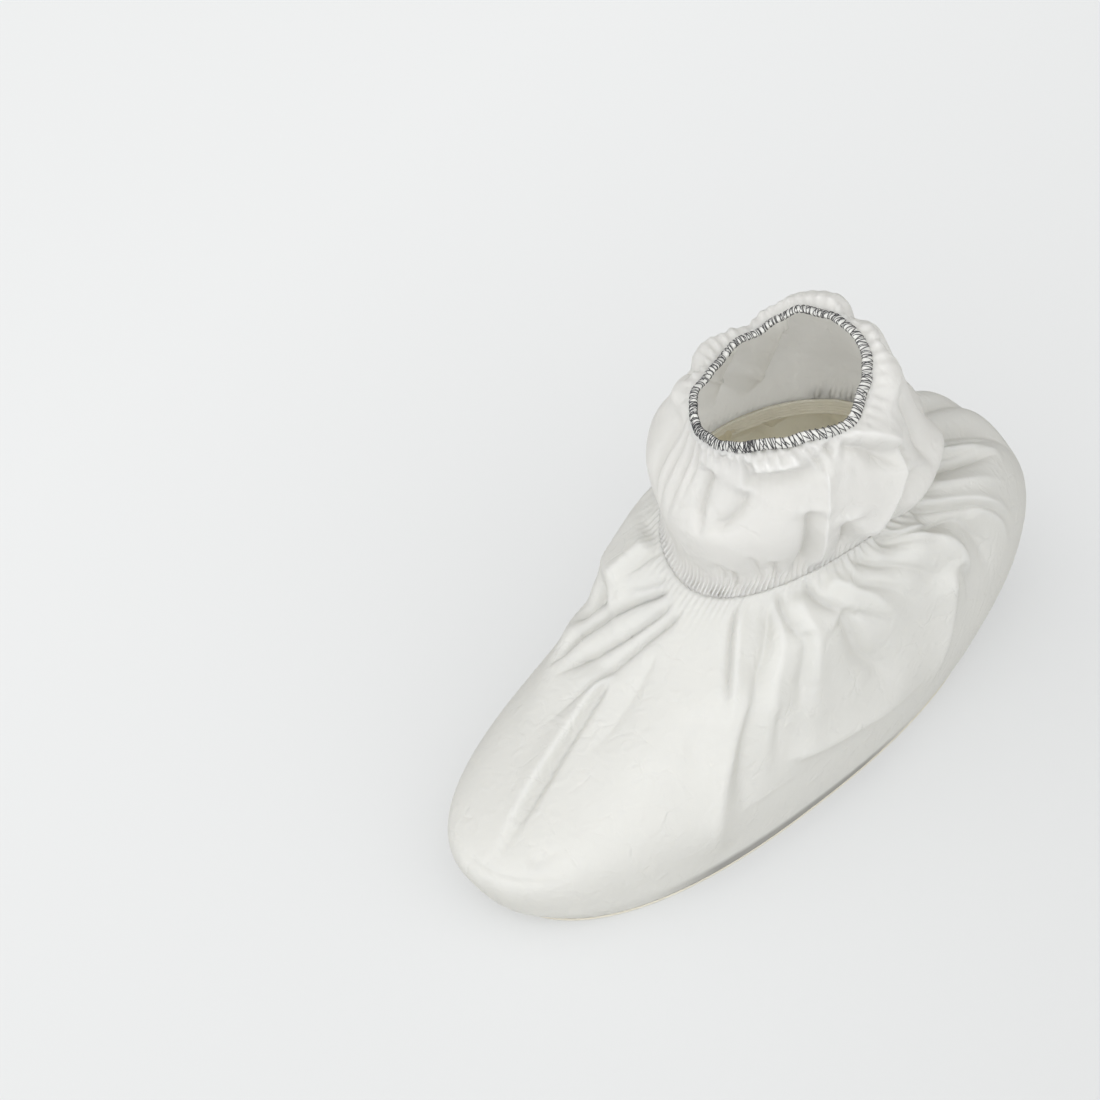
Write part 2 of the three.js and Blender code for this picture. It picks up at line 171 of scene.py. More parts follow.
# Folds of the foot bag, from the toe by the near side and the heel to the far side
UPPER_FOLDS = [
    Fold((354, 0.98), (335, 0.87), (320, 0.66), 2, 2.5, -6, 1.5, FoldShape.CRISP, 0.85),
    Fold((358, 0.975), (346, 0.86), (329, 0.7), 2, 2.5, -5, 1.5, FoldShape.CRISP, 0.75),
    Fold((6, 0.97), (354.5, 0.86), (344, 0.67), 2, 2.5, -4.5, 1.4, FoldShape.CRISP, 0.65),
    Fold((353, 0.83), (356.5, 0.69), (5, 0.42), 3.5, 11, 7, fade=0.6),
    Fold((327, 0.99), (323, 0.91), (321, 0.83), 8, 12, 6, fade=0.75),
    Fold((323, 0.85), (315, 0.76), (306, 0.65), 9, 9, -9, fade=0.6),
    Fold((47, 0.98), (57, 0.74), (74, 0.34), 4, 5, -6, 2.2, fade=0.8),
    Fold((53, 0.8), (62, 0.52), (68.5, 0.18), 20, 12, 8, 1, FoldShape.CRISP, 0.6),
    Fold((52, 0.97), (63, 0.73), (74, 0.46), 5, 5, 2, 1.3, fade=0.6),
    Fold((48.5, 1.0), (58.5, 0.88), (69, 0.765), 3, 3, -4.5, 1.3, FoldShape.CRISP, 0.6),
    Fold((65, 0.83), (71, 0.71), (77, 0.56), 5, 5, -3.5, fade=0.6),
    Fold((57, 0.97), (70, 0.78), (84, 0.48), 7, 8, 3, fade=0.6),
    Fold((61.5, 0.99), (70, 0.875), (83, 0.75), 2.5, 3, -4, 1.3, FoldShape.CRISP, 0.65),
    Fold((76, 0.81), (86, 0.66), (99, 0.44), 5, 6, -5.5, 1.5, fade=0.7),
    Fold((70, 0.96), (83, 0.82), (100, 0.58), 6, 6, 3, fade=0.6),
    Fold((80, 0.99), (93, 0.83), (107, 0.67), 3, 4, -3.5, 1.4, FoldShape.CRISP, 0.6),
    Fold((97, 0.95), (109, 0.78), (113, 0.52), 4, 12, 6, fade=0.65),
    Fold((105, 0.74), (108, 0.53), (108.5, 0.26), 5, 12, 5, fade=0.55),
    Fold((76, 0.48), (92, 0.43), (108, 0.38), 14, 5, 5, fade=0.55),
    Fold((107, 0.93), (116, 0.79), (124, 0.52), 7, 8, -5, fade=0.65),
    Fold((92, 1.0), (105.5, 0.895), (118, 0.81), 2.5, 3, -3.5, 1, FoldShape.CRISP, 0.6),
    Fold((113, 0.98), (119.5, 0.855), (133, 0.64), 2.5, 3, -4.5, 1.2, FoldShape.CRISP, 0.65),
    Fold((116, 0.98), (123, 0.85), (137, 0.6), 4, 4, 4, fade=0.6),
    Fold((133, 1.0), (141.5, 0.9), (149, 0.78), 3, 3.5, -5, 1, FoldShape.CRISP, 0.6),
    Fold((149, 0.99), (150, 0.9), (151, 0.76), 6, 6, 5, fade=0.55),
    Fold((157, 0.99), (159, 0.89), (161, 0.74), 3, 3.5, -4.5, 1, FoldShape.CRISP, 0.6),
    Fold((169, 1.0), (168, 0.86), (164, 0.58), 12, 12, -12, fade=0.6),
    Fold((188, 0.99), (187, 0.84), (184, 0.56), 7, 7, -8, 1.5),
    Fold((207, 0.99), (205, 0.82), (202, 0.5), 6, 6, -9, 1.6),
    Fold((229, 0.99), (219, 0.8), (209, 0.44), 6, 6, -10, 1.7),
    Fold((251, 0.99), (237, 0.77), (223, 0.36), 6, 6, -10, 1.7),
    Fold((272, 0.99), (256, 0.8), (242, 0.4), 6, 6, -9, 1.7),
    Fold((294, 0.99), (278, 0.8), (264, 0.42), 6, 6, -9, 1.7),
]
# Smaller creases and ridges between them
UPPER_CREASES = [
    Fold((30, 1.0), (41, 0.85), (54, 0.68), 1.6, 2, -3.5, 1, FoldShape.CRISP, 0.65),
    Fold((34, 1.0), (46, 0.82), (60, 0.58), 4, 5, 3),
    Fold((43, 0.74), (49, 0.64), (60, 0.55), 8, 8, -2),
    Fold((355, 0.82), (358.8, 0.69), (7.5, 0.43), 2, 2.5, -5.5, 1.5, FoldShape.CRISP, 0.65),
    Fold((5, 0.9), (8, 0.79), (9, 0.68), 5, 4, -2),
    Fold((17, 0.46), (22, 0.48), (29, 0.52), 5, 5, -1.5),
    Fold((354, 0.39), (12, 0.4), (34, 0.385), 2.5, 2.5, -1.4, 1, FoldShape.CRISP, 0.7),
    Fold((68, 0.65), (72, 0.56), (76, 0.45), 2.5, 2.5, -2, 1, FoldShape.CRISP),
    Fold((78, 0.88), (89, 0.79), (100, 0.64), 2.5, 3, -2.5),
    Fold((91, 0.98), (101, 0.88), (111, 0.77), 3, 3, -2.5),
    Fold((108, 0.72), (112, 0.64), (114, 0.55), 3, 3, -3),
    Fold((81, 0.77), (86, 0.73), (93, 0.66), 2, 2, -2.5, 1, FoldShape.CRISP),
    Fold((95, 0.99), (107, 0.9), (119, 0.82), 2.5, 2.5, 2.5),
    Fold((127, 0.97), (132, 0.87), (140, 0.72), 4, 4, 2.5),
    Fold((120, 0.82), (127, 0.7), (132, 0.54), 4, 4, 3),
    Fold((143, 0.98), (148, 0.9), (154, 0.78), 3, 3, -2.5),
    Fold((334, 1.0), (330.5, 0.945), (326, 0.88), 2, 2, -2.5, 1, FoldShape.CRISP),
    Fold((348, 0.99), (338.5, 0.94), (328, 0.88), 2, 2, -2.5, 1, FoldShape.CRISP),
]
# The seam up the middle of the toe
UPPER_SEAMS = [
    StitchLine((6, 0.36), (8, 0.24), (7, 0.02), 0.5, 1.6, 0.25, 5, 3),
]
# Folds of the cuff, in the same order
CUFF_FOLDS = [
    Fold((8, 0.82), (6, 0.63), (11, 0.48), 3.5, 4, -6, fade=0.6),
    Fold((33, 0.73), (24, 0.6), (9, 0.54), 4, 6, -6, fade=0.6),
    Fold((28, 0.77), (50, 0.775), (70, 0.75), 3.5, 7, -7, fade=0.7),
    Fold((32, 0.88), (50, 0.88), (68, 0.86), 8, 5, 6, fade=0.7),
    Fold((61, 0.6), (59, 0.4), (53, 0.04), 6, 4, -8, fade=0.75),
    Fold((73, 0.82), (66, 0.5), (60, 0.0), 6, 3, 4.5, 1, FoldShape.CRISP, 0.8),
    Fold((77, 0.5), (74.5, 0.28), (74, 0.02), 3.5, 3.5, -7, fade=0.6),
    Fold((85, 0.92), (96, 0.74), (109, 0.56), 5, 6, -8, fade=0.6),
    Fold((90, 1.0), (105, 0.79), (118, 0.53), 6, 8, 7, fade=0.6),
    Fold((111, 0.65), (95, 0.44), (76, 0.22), 3, 14, 7, 1, FoldShape.CRISP, 0.75),
    Fold((117, 0.46), (102, 0.3), (84, 0.1), 8, 8, -7, fade=0.7),
    Fold((98, 0.26), (124, 0.28), (154, 0.34), 16, 16, 7, fade=0.7),
    Fold((134, 0.82), (128, 0.5), (122, 0.2), 6, 6, -6),
    Fold((158, 0.94), (154, 0.52), (150, 0.08), 7, 7, -6),
    Fold((124, 0.88), (150, 0.89), (178, 0.9), 9, 12, 2.5, fade=0.8),
    Fold((182, 0.98), (184, 0.68), (196, 0.3), 5, 14, -6, fade=0.7),
    Fold((180, 0.9), (211, 0.91), (246, 0.88), 10, 12, 3.5, fade=0.8),
    Fold((224, 0.93), (234, 0.6), (258, 0.2), 18, 3, -14, fade=0.75),
    Fold((246, 0.88), (280, 0.84), (318, 0.76), 12, 14, 5, fade=0.8),
    Fold((260, 0.93), (260, 0.6), (272, 0.24), 12, 3, -9, fade=0.75),
    Fold((289, 0.97), (288, 0.68), (286, 0.14), 5, 5, -6, 1.6),
    Fold((312, 0.82), (330, 0.5), (345, 0.1), 5, 5, -5),
]
# Smaller creases between them and at the two sewn edges
CUFF_CREASES = [
    Fold((37, 0.94), (35, 0.86), (32, 0.77), 2.5, 3, -3.5),
    Fold((69, 0.73), (70, 0.81), (68, 0.92), 3, 3, -3.5),
    Fold((79, 0.96), (79, 0.88), (77, 0.79), 2.5, 2.5, -4),
    Fold((56, 0.98), (54, 0.93), (53, 0.87), 2.5, 2.5, -2.5),
    Fold((74, 0.5), (79, 0.485), (85, 0.46), 2, 2.5, 2, 1, FoldShape.CRISP),
    Fold((23, 0.34), (26, 0.18), (28, 0.0), 2.5, 2.5, -3),
    Fold((33, 0.44), (37, 0.26), (39, 0.06), 2.5, 2.5, -2.5),
    Fold((41, 0.38), (45, 0.2), (47, 0.0), 3, 3, -3.5),
    Fold((16, 0.38), (20, 0.24), (23, 0.06), 3, 3, -2),
    Fold((112, 0.7), (114, 0.58), (118, 0.48), 3, 3, -3.5),
    Fold((339, 0.97), (345, 0.74), (350, 0.4), 2.5, 3, -4, fade=0.6),
    Fold((350, 0.98), (352, 0.82), (355, 0.5), 2.5, 2.5, -3.5, fade=0.6),
    Fold((327, 0.97), (335, 0.72), (344, 0.36), 2.5, 3, -4, fade=0.6),
    Fold((316, 0.97), (325, 0.7), (337, 0.3), 3, 3, -4, fade=0.6),
    Fold((20, 0.98), (17, 0.9), (14, 0.8), 3, 3, -2.5),
]
# The seam down the front of the cuff
CUFF_SEAMS = [
    StitchLine((354, 0.96), (0, 0.59), (6, 0.03), 0.5, 1.8, 0.15, 5.2, 4.5),
]


def smoothstep(low: float, high: float, value: Array) -> Array:
    """Ease from 0 at low to 1 at high."""
    share = np.clip((value - low) / (high - low), 0, 1)
    return share * share * (3 - 2 * share)


def unit(vectors: Array) -> Array:
    """Vectors scaled to unit length."""
    return vectors / np.maximum(np.linalg.norm(vectors, axis=-1, keepdims=True), 1e-12)


def soft_noise(rows: int, columns: int, row_scale: float, column_scale: float, seed: int) -> Array:
    """Smooth random field of unit spread that closes round its columns.

    Args:
        rows: Number of rows.
        columns: Number of columns.
        row_scale: Smoothing length in rows.
        column_scale: Smoothing length in columns.
        seed: Seed of the random draw.

    Returns:
        A field of rows by columns.
    """
    white = np.random.default_rng(seed).normal(size=(rows, columns))
    row_wave = np.fft.fftfreq(rows)[:, None] * row_scale
    column_wave = np.fft.fftfreq(columns)[None, :] * column_scale
    soft = np.exp(-2 * math.pi**2 * (row_wave**2 + column_wave**2))
    smooth = np.fft.ifft2(np.fft.fft2(white) * soft).real
    return smooth / smooth.std()


class Loft:
    """Smooth cloth through a list of sections, placed in the frame of the solids."""

    def __init__(self, sections: list[Section], lift: float) -> None:
        """Keep the sections as a table.

        Args:
            sections: Level lines, lowest first.
            lift: Height in millimetres that the whole cloth is raised by.
        """
        self.table = np.array([astuple(section) for section in sections])
        low, high = (np.array(corner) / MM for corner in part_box("sole_panel"))
        self.shift = np.array([
            (low[0] + high[0]) / 2 - (SOLE_SECTION.near - SOLE_SECTION.far) / 2,
            (low[1] + high[1]) / 2 - (SOLE_SECTION.toe + SOLE_SECTION.heel) / 2,
            lift,
        ])

    def ring(self, index: Index, angle: Array) -> Array:
        """Find places on the sections.

        Args:
            index: Section of each place.
            angle: Angle of each place in radians.

        Returns:
            Places in millimetres.
        """
        toe, heel, near, far, z_toe, z_side, z_heel, square, egg = np.moveaxis(self.table[index], -1, 0)
        cosine, sine = np.cos(angle), np.sin(angle)
        along = np.sign(cosine) * np.abs(cosine) ** square
        across = np.sign(sine) * np.abs(sine) ** square
        half = np.where(sine > 0, near, far)
        end = np.where(cosine > 0, z_toe, z_heel)
        return np.stack([
            half * across * (1 + egg * cosine),
            (toe + heel) / 2 - (heel - toe) / 2 * along,
            z_side * sine**2 + end * cosine**2,
        ], axis=-1) + self.shift

    def edge(self, angle: Array, top: bool) -> Array:
        """Places on the first or the last section."""
        index = np.full(np.shape(angle), len(self.table) - 1 if top else 0)
        return self.ring(index, np.asarray(angle))

    def point(self, angle: Array, up: Array) -> Array:
        """Find places on the cloth, by a smooth curve through the sections.

        Args:
            angle: Angle of each place in radians.
            up: Share of the way up of each place.

        Returns:
            Places in millimetres.
        """
        last = len(self.table) - 1
        place = np.clip(up, 0, 1) * last
        index = np.minimum(place.astype(int), last - 1)
        share = (place - index)[..., None]
        here, there = self.ring(index, angle), self.ring(index + 1, angle)
        lower = self.ring(np.maximum(index - 1, 0), angle)
        upper = self.ring(np.minimum(index + 2, last), angle)
        before = np.where((index > 0)[..., None], lower, 2 * here - there)
        after = np.where((index + 2 <= last)[..., None], upper, 2 * there - here)
        square, cube = share**2, share**3
        return (
            (2 * cube - 3 * square + 1) * here
            + (cube - 2 * square + share) * (there - before) / 2
            + (3 * square - 2 * cube) * there
            + (cube - square) * (after - here) / 2
        )

    def rise(self, angle: Array, up: Array) -> Array:
        """Unit directions up the cloth."""
        above = self.point(angle, np.minimum(up + SLOPE_STEP, 1))
        return unit(above - self.point(angle, np.maximum(up - SLOPE_STEP, 0)))

    def normal(self, angle: Array, up: Array) -> Array:
        """Unit directions out of the cloth."""
        ahead = self.point(angle + SLOPE_STEP, up) - self.point(angle - SLOPE_STEP, up)
        return unit(np.cross(ahead, self.rise(angle, up)))

    def even_rows(self, count: int) -> Array:
        """Space rows evenly along the cloth's mean rise.

        Args:
            count: Number of rows.

        Returns:
            Shares of the way up.
        """
        samples_up, samples_round = 400, 48
        fine = np.linspace(0, 1, samples_up)
        angle = np.linspace(0, TURN, samples_round, endpoint=False)
        places = self.point(*np.broadcast_arrays(angle[None, :], fine[:, None]))
        steps = np.linalg.norm(np.diff(places, axis=0), axis=-1).mean(axis=1)
        length = np.concatenate([[0], np.cumsum(steps)])
        return np.interp(np.linspace(0, length[-1], count), length, fine)


class ClothLine:
    """A line on a loft through three places, sampled along its length."""

    SAMPLES: ClassVar[int] = 64

    def __init__(self, loft: Loft, mark: Fold | StitchLine) -> None:
        """Sample the line.

        Args:
            loft: Cloth that the line lies on.
            mark: Fold or sewn line that follows it.
        """
        share = np.linspace(0, 1, self.SAMPLES + 1)
        first = mark.start[0]
        turned = [first + ((place[0] - first + 180) % 360 - 180) for place in (mark.by, mark.end)]
        angle = np.radians(self.bend(first, turned[0], turned[1], share))
        up = self.bend(mark.start[1], mark.by[1], mark.end[1], share)
        self.share = share
        self.points = loft.point(angle, up)
        self.along = unit(np.gradient(self.points, axis=0))
        self.left = np.cross(loft.normal(angle, up), self.along)
        self.length = np.linalg.norm(np.diff(self.points, axis=0), axis=-1).sum()

    @staticmethod
    def bend(start: float, by: float, end: float, share: Array) -> Array:
        """Quadratic curve from start through by, half way, to end."""
        control = 2 * by - (start + end) / 2
        return (1 - share) ** 2 * start + 2 * share * (1 - share) * control + share**2 * end

    def near(self, points: Array, reach: float) -> tuple[Index, Array, Array]:
        """Find the points near the line.

        Args:
            points: Places to test, one a row.
            reach: Largest distance from the line in millimetres.

        Returns:
            Indices of the points within reach, their signed distances (over 0 to the left) and their
            shares of the way along.
        """
        low, high = self.points.min(axis=0) - reach, self.points.max(axis=0) + reach
        found = np.flatnonzero(((points > low) & (points < high)).all(axis=1))
        chosen = points[found]
        square = (chosen**2).sum(axis=1)[:, None] - 2 * chosen @ self.points.T + (self.points**2).sum(axis=1)
        nearest = square.argmin(axis=1)
        offset = chosen - self.points[nearest]
        ahead = (offset * self.along[nearest]).sum(axis=1)
        share = np.clip(self.share[nearest] + ahead / self.length, 0, 1)
        inner = (nearest > 0) & (nearest < self.SAMPLES)
        away = np.sqrt(np.maximum((offset**2).sum(axis=1) - np.where(inner, ahead, 0) ** 2, 0))
        side = np.where((offset * self.left[nearest]).sum(axis=1) > 0, 1.0, -1.0)
        return found, side * away, share


def fold_heights(loft: Loft, folds: list[Fold], points: Array) -> Array:
    """Add up the heights of folds.

    Args:
        loft: Cloth that the folds are charted on.
        folds: Folds to add up.
        points: Places on the cloth, one a row.

    Returns:
        Height in millimetres at each place.
    """
    swell_end, reach_widths, steepness = 0.2, 4.5, 1.3
    roundness = {FoldShape.SOFT: 0.22, FoldShape.CRISP: 0.06}
    heights = np.zeros(len(points))
    for fold in folds:
        crest = roundness[fold.shape]
        reach = reach_widths * max(fold.left, fold.right) * max(fold.flare, 1)
        found, distance, share = ClothLine(loft, fold).near(points, reach)
        width = np.where(distance > 0, fold.left, fold.right) * (1 + (fold.flare - 1) * share)
        ratio = np.abs(distance) / width
        fall = np.exp(steepness * (crest - np.sqrt(ratio**2 + crest**2)))
        swell = smoothstep(0, swell_end, share) * (1 - smoothstep(fold.fade, 1, share))
        heights[found] += fold.depth * swell * fall
    return heights


def stitch_heights(loft: Loft, seams: list[StitchLine], points: Array) -> Array:
    """Add up the heights of sewn lines.

    Args:
        loft: Cloth that the lines are charted on.
        seams: Sewn lines to add up.
        points: Places on the cloth, one a row.

    Returns:
        Height in millimetres at each place.
    """
    reaches, side_shift = 4, 0.9
    heights = np.zeros(len(points))
    for seam in seams:
        line = ClothLine(loft, seam)
        found, distance, share = line.near(points, reaches * seam.reach)
        groove = seam.groove * np.exp(-np.abs(distance) / seam.width)
        wave = np.cos(TURN * share * line.length / seam.pitch + np.sign(distance) * side_shift)
        pucker = seam.pucker * wave * np.exp(-((distance / seam.reach) ** 2))
        heights[found] += pucker - groove
    return heights


@dataclass
class Settling:
    """Lets cloth with spare length wrinkle round the form that it starts from.

    Springs round, up and across the cloth take their longer rest lengths, while bending stiffness and a
    weak hold keep the wrinkles near the starting form.
    """

    passes: int
    bend_round: float
    bend_up: float
    stretch: float = 0.9
    shear: float = 0.45

    def springs(self, start: Array, spare_round: Array, spare_up: Array) -> Springs:
        """List sets of springs in which no two share a point.

        Args:
            start: Starting places, rows by columns by 3.
            spare_round: Spare share of length round the cloth at each point.
            spare_up: Spare share of length up the cloth at each point.

        Returns:
            Tuples of first ends, second ends, rest lengths and firmness.
        """
        rows, columns = start.shape[:2]
        index = np.arange(rows * columns).reshape(rows, columns)
        beyond = np.roll(index, -1, axis=1)
        ahead = np.roll(start, -1, axis=1) - start
        above = start[1:] - start[:-1]
        length_round = np.linalg.norm(ahead, axis=-1) * (1 + spare_round)
        length_up = np.linalg.norm(above, axis=-1) * (1 + spare_up[:-1])
        cosine = (unit(ahead)[:-1] * unit(above)).sum(axis=-1)
        product = 2 * length_round[:-1] * length_up * cosine
        squares = length_round[:-1] ** 2 + length_up**2
        sets = []
        for phase in (0, 1):
            pick = (slice(None), slice(phase, None, 2))
            sets.append((index[pick], beyond[pick], length_round[pick], self.stretch))
        for phase in (0, 1):
            pick = slice(phase, rows - 1, 2)
            over = slice(phase + 1, rows, 2)
            sets.append((index[pick], index[over], length_up[pick], self.stretch))
            sets.append((index[pick], beyond[over], np.sqrt(squares + product)[pick], self.shear))
            sets.append((beyond[pick], index[over], np.sqrt(squares - product)[pick], self.shear))
        return [(a.ravel(), b.ravel(), r.ravel().astype(np.float32), f) for a, b, r, f in sets]

    def run(self, start: Array, nudge: Array, spare_round: Array, spare_up: Array, hold: Array) -> Array:
        """Settle the cloth.

        Args:
            start: Starting places, rows by columns by 3.
            nudge: First offsets that the wrinkles grow from.
            spare_round: Spare share of length round the cloth.
            spare_up: Spare share of length up the cloth.
            hold: Share of the way back to the start taken at each pass, 1 at sewn edges.

        Returns:
            Settled places.
        """
        springs = self.springs(start, spare_round, spare_up)
        origin = start.astype(np.float32)
        places = (start + nudge).astype(np.float32)
        keep = (1 - hold).astype(np.float32)[..., None]
        flat = places.reshape(-1, 3)
        for _ in range(self.passes):
            for first, second, rest, firmness in springs:
                gap = flat[second] - flat[first]
                length = np.sqrt(np.einsum("ij,ij->i", gap, gap))
                gap *= (0.5 * firmness * (1 - rest / np.maximum(length, 1e-6)))[:, None]
                flat[first] += gap
                flat[second] -= gap
            drift = places - origin
            bent = self.bend_round * bow(bow(drift, 1), 1) + self.bend_up * bow(bow(drift, 0), 0)
            places[...] = origin + (drift - bent) * keep
        return places.astype(float)


def bow(field_values: Array, axis: int) -> Array:
    """Find how far each value lies from the mean of its neighbours.

    Args:
        field_values: Values, rows by columns.
        axis: 0 for neighbours up the rows, whose ends give 0, or 1 for those round the columns.

    Returns:
        The mean of the neighbours less the value.
    """
    if axis == 1:
        return (np.roll(field_values, 1, 1) + np.roll(field_values, -1, 1)) / 2 - field_values
    out = np.zeros_like(field_values)
    out[1:-1] = (field_values[:-2] + field_values[2:]) / 2 - field_values[1:-1]
    return out


def grid_normals(places: Array) -> Array:
    """Outward unit normals of a grid of rows that closes round its columns."""
    ahead = np.roll(places, -1, axis=1) - np.roll(places, 1, axis=1)
    return unit(np.cross(ahead, np.gradient(places, axis=0)))


def new_mesh(name: str, points: Array, faces: list[Index], material: bpy.types.Material) -> bpy.types.Object:
    """Make a smooth-shaded object from points in millimetres.

    Args:
        name: Name of the object.
        points: Places, one a row.
        faces: Arrays of corner indices, each with one corner count.
        material: Finish of all its faces.

    Returns:
        The new object, linked to the scene.
    """
    counts = np.concatenate([np.full(len(part), part.shape[1], np.int32) for part in faces])
    corners = np.concatenate([part.ravel() for part in faces]).astype(np.int32)
    mesh = bpy.data.meshes.new(name)
    mesh.vertices.add(len(points))
    mesh.vertices.foreach_set("co", (points * MM).astype(np.float32).ravel())
    mesh.loops.add(len(corners))
    mesh.loops.foreach_set("vertex_index", corners)
    mesh.polygons.add(len(counts))
    mesh.polygons.foreach_set("loop_start", np.concatenate([[0], np.cumsum(counts)[:-1]]).astype(np.int32))
    mesh.polygons.foreach_set("use_smooth", np.ones(len(counts), bool))
    mesh.update(calc_edges=True)
    mesh.validate()
    mesh.materials.append(material)
    piece = bpy.data.objects.new(name, mesh)
    bpy.context.scene.collection.objects.link(piece)
    return piece


def grid_quads(rows: int, columns: int, first: int) -> Index:
    """List the faces of a grid that closes round its columns.

    Args:
        rows: Number of rows.
        columns: Number of columns.
        first: Index of the grid's first point.

    Returns:
        Corner indices, four a face.
    """
    index = first + np.arange(rows * columns).reshape(rows, columns)
    beyond = np.roll(index, -1, axis=1)
    return np.stack([index[:-1], beyond[:-1], beyond[1:], index[1:]], axis=-1).reshape(-1, 4)


def edge_strip(outer: Index, inner: Index, top: bool) -> Index:
    """Join the edge of an outer layer to that of an inner one.

    Args:
        outer: Indices of the outer edge's points.
        inner: Indices of the inner edge's points, as many or half as many.
        top: Whether this is the top edge.

    Returns:
        Corner indices of the faces.
    """
    ratio = len(outer) // len(inner)
    inner_next = np.roll(inner, -1)
    if ratio == 1:
        quads = np.stack([outer, inner, inner_next, np.roll(outer, -1)], axis=-1)
        return quads[:, ::-1] if top else quads
    first, middle = outer[0::2], outer[1::2]
    last = np.roll(first, -1)
    corners = [(first, inner, middle), (middle, inner, inner_next), (middle, inner_next, last)]
    triangles = np.concatenate([np.stack(corner, axis=-1) for corner in corners])
    return triangles[:, ::-1] if top else triangles


def valley_depths(places: Array, normals: Array) -> Array:
    """Measure how deep a grid of places lies in narrow valleys.

    Args:
        places: Places, rows by columns by 3.
        normals: Outward directions at the places.

    Returns:
        Greatest depth within a row and two columns, below the lines between the places on either side.
    """
    rows = np.concatenate([places[:1], places, places[-1:]])
    along = (rows[:-2] + rows[2:]) / 2 - places
    along[[0, -1]] = 0
    round_it = (np.roll(places, 1, axis=1) + np.roll(places, -1, axis=1)) / 2 - places
    dip = sum(np.maximum(0, np.sum(bend * normals, axis=-1)) for bend in (along, round_it))
    dip = np.maximum.reduce([np.roll(dip, step, axis=1) for step in range(-2, 3)])
    padded = np.pad(dip, ((1, 1), (0, 0)))
    return np.maximum.reduce([padded[:-2], padded[1:-1], padded[2:]])


def cloth_shell(
    name: str, outer: Array, inner_step: int, valley_sink: float, finishes: list[bpy.types.Material],
) -> bpy.types.Object:
    """Make a closed thin wall behind a grid of outer places.

    Args:
        name: Name of the object.
        outer: Outer places, rows by columns by 3.
        inner_step: Rows and columns of the outer layer for one of the inner layer, 1 or 2.
        valley_sink: How many valley depths deeper the inner layer lies behind a valley.
        finishes: Finishes of the outer layer and of the inner one.

    Returns:
        The new object.
    """
    rows, columns = outer.shape[:2]
    normals = grid_normals(outer)
    sink = CLOTH_THICKNESS + valley_sink * valley_depths(outer, normals)
    inner = (outer - sink[..., None] * normals)[::inner_step, ::inner_step]
    inner_rows, inner_columns = inner.shape[:2]
    first = rows * columns
    outside = np.arange(first).reshape(rows, columns)
    inside = first + np.arange(inner_rows * inner_columns).reshape(inner_rows, inner_columns)
    faces = [
        grid_quads(rows, columns, 0),
        grid_quads(inner_rows, inner_columns, first)[:, ::-1],
        edge_strip(outside[0], inside[0], False),
        edge_strip(outside[-1], inside[-1], True),
    ]
    piece = new_mesh(name, np.concatenate([outer.reshape(-1, 3), inner.reshape(-1, 3)]), faces, finishes[0])
    piece.data.materials.append(finishes[1])
    layer = np.zeros(len(piece.data.polygons), np.int32)
    layer[len(faces[0]):len(faces[0]) + len(faces[1])] = 1
    piece.data.polygons.foreach_set("material_index", layer)
    return piece


def swept_ring(name: str, rings: Array, material: bpy.types.Material) -> bpy.types.Object:
    """Make a closed ring through sections.

    Args:
        name: Name of the object.
        rings: Places, stations by corners by 3, with corners that turn from outside to top.
        material: Finish of the ring.

    Returns:
        The new object.
    """
    stations, corners = rings.shape[:2]
    index = np.arange(stations * corners).reshape(stations, corners)
    ahead, beside = np.roll(index, -1, axis=0), np.roll(index, -1, axis=1)
    quads = np.stack([index, ahead, np.roll(ahead, -1, axis=1), beside], axis=-1).reshape(-1, 4)
    return new_mesh(name, rings.reshape(-1, 3), [quads], material)


def hex_colour(text: str) -> tuple[float, float, float, float]:
    """Turn an sRGB hex value to a linear colour.

    Args:
        text: Value such as #e6e6e1.

    Returns:
        Red, green, blue and alpha.
    """
    shares = [int(text[place:place + 2], 16) / 255 for place in (1, 3, 5)]
    linear = [share / 12.92 if share <= 0.04045 else ((share + 0.055) / 1.055) ** 2.4 for share in shares]
    return (*linear, 1.0)


def add_node(tree: bpy.types.NodeTree, kind: str, settings: dict, links: dict) -> bpy.types.Node:
    """Add a node to a tree.

    Args:
        tree: Tree of a material or of geometry nodes.
        kind: Node type.
        settings: Values by property name, or by input name or number.
        links: Output sockets by input name or number.

    Returns:
        The new node.
    """
    node = tree.nodes.new(kind)
    for key, value in settings.items():
        if isinstance(key, str) and key in node.bl_rna.properties:
            setattr(node, key, value)
        else:
            node.inputs[key].default_value = value
    for key, socket in links.items():
        tree.links.new(socket, node.inputs[key])
    return node


def set_inputs(node: bpy.types.Node, values: dict) -> None:
    """Set a node's inputs by name."""
    for name, value in values.items():
        node.inputs[name].default_value = value


def new_finish(name: str) -> tuple[bpy.types.Material, bpy.types.Node, bpy.types.NodeSocket]:
    """Start a node material.

    Args:
        name: Name of the material.

    Returns:
        The material, its shader and the socket that gives places on the object.
    """
    made = bpy.data.materials.new(name)
    made.use_nodes = True
    where = add_node(made.node_tree, "ShaderNodeTexCoord", {}, {}).outputs["Object"]
    return made, made.node_tree.nodes["Principled BSDF"], where


def stand_for(piece: bpy.types.Object, node: str) -> None:
    """Tell the frame which body a piece rides on, and hide the node of the solids that it stands for.

    Args:
        piece: Finished piece.
        node: Node of the solids that it takes the place of.
    """
    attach(piece, BODY)
    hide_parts(node)


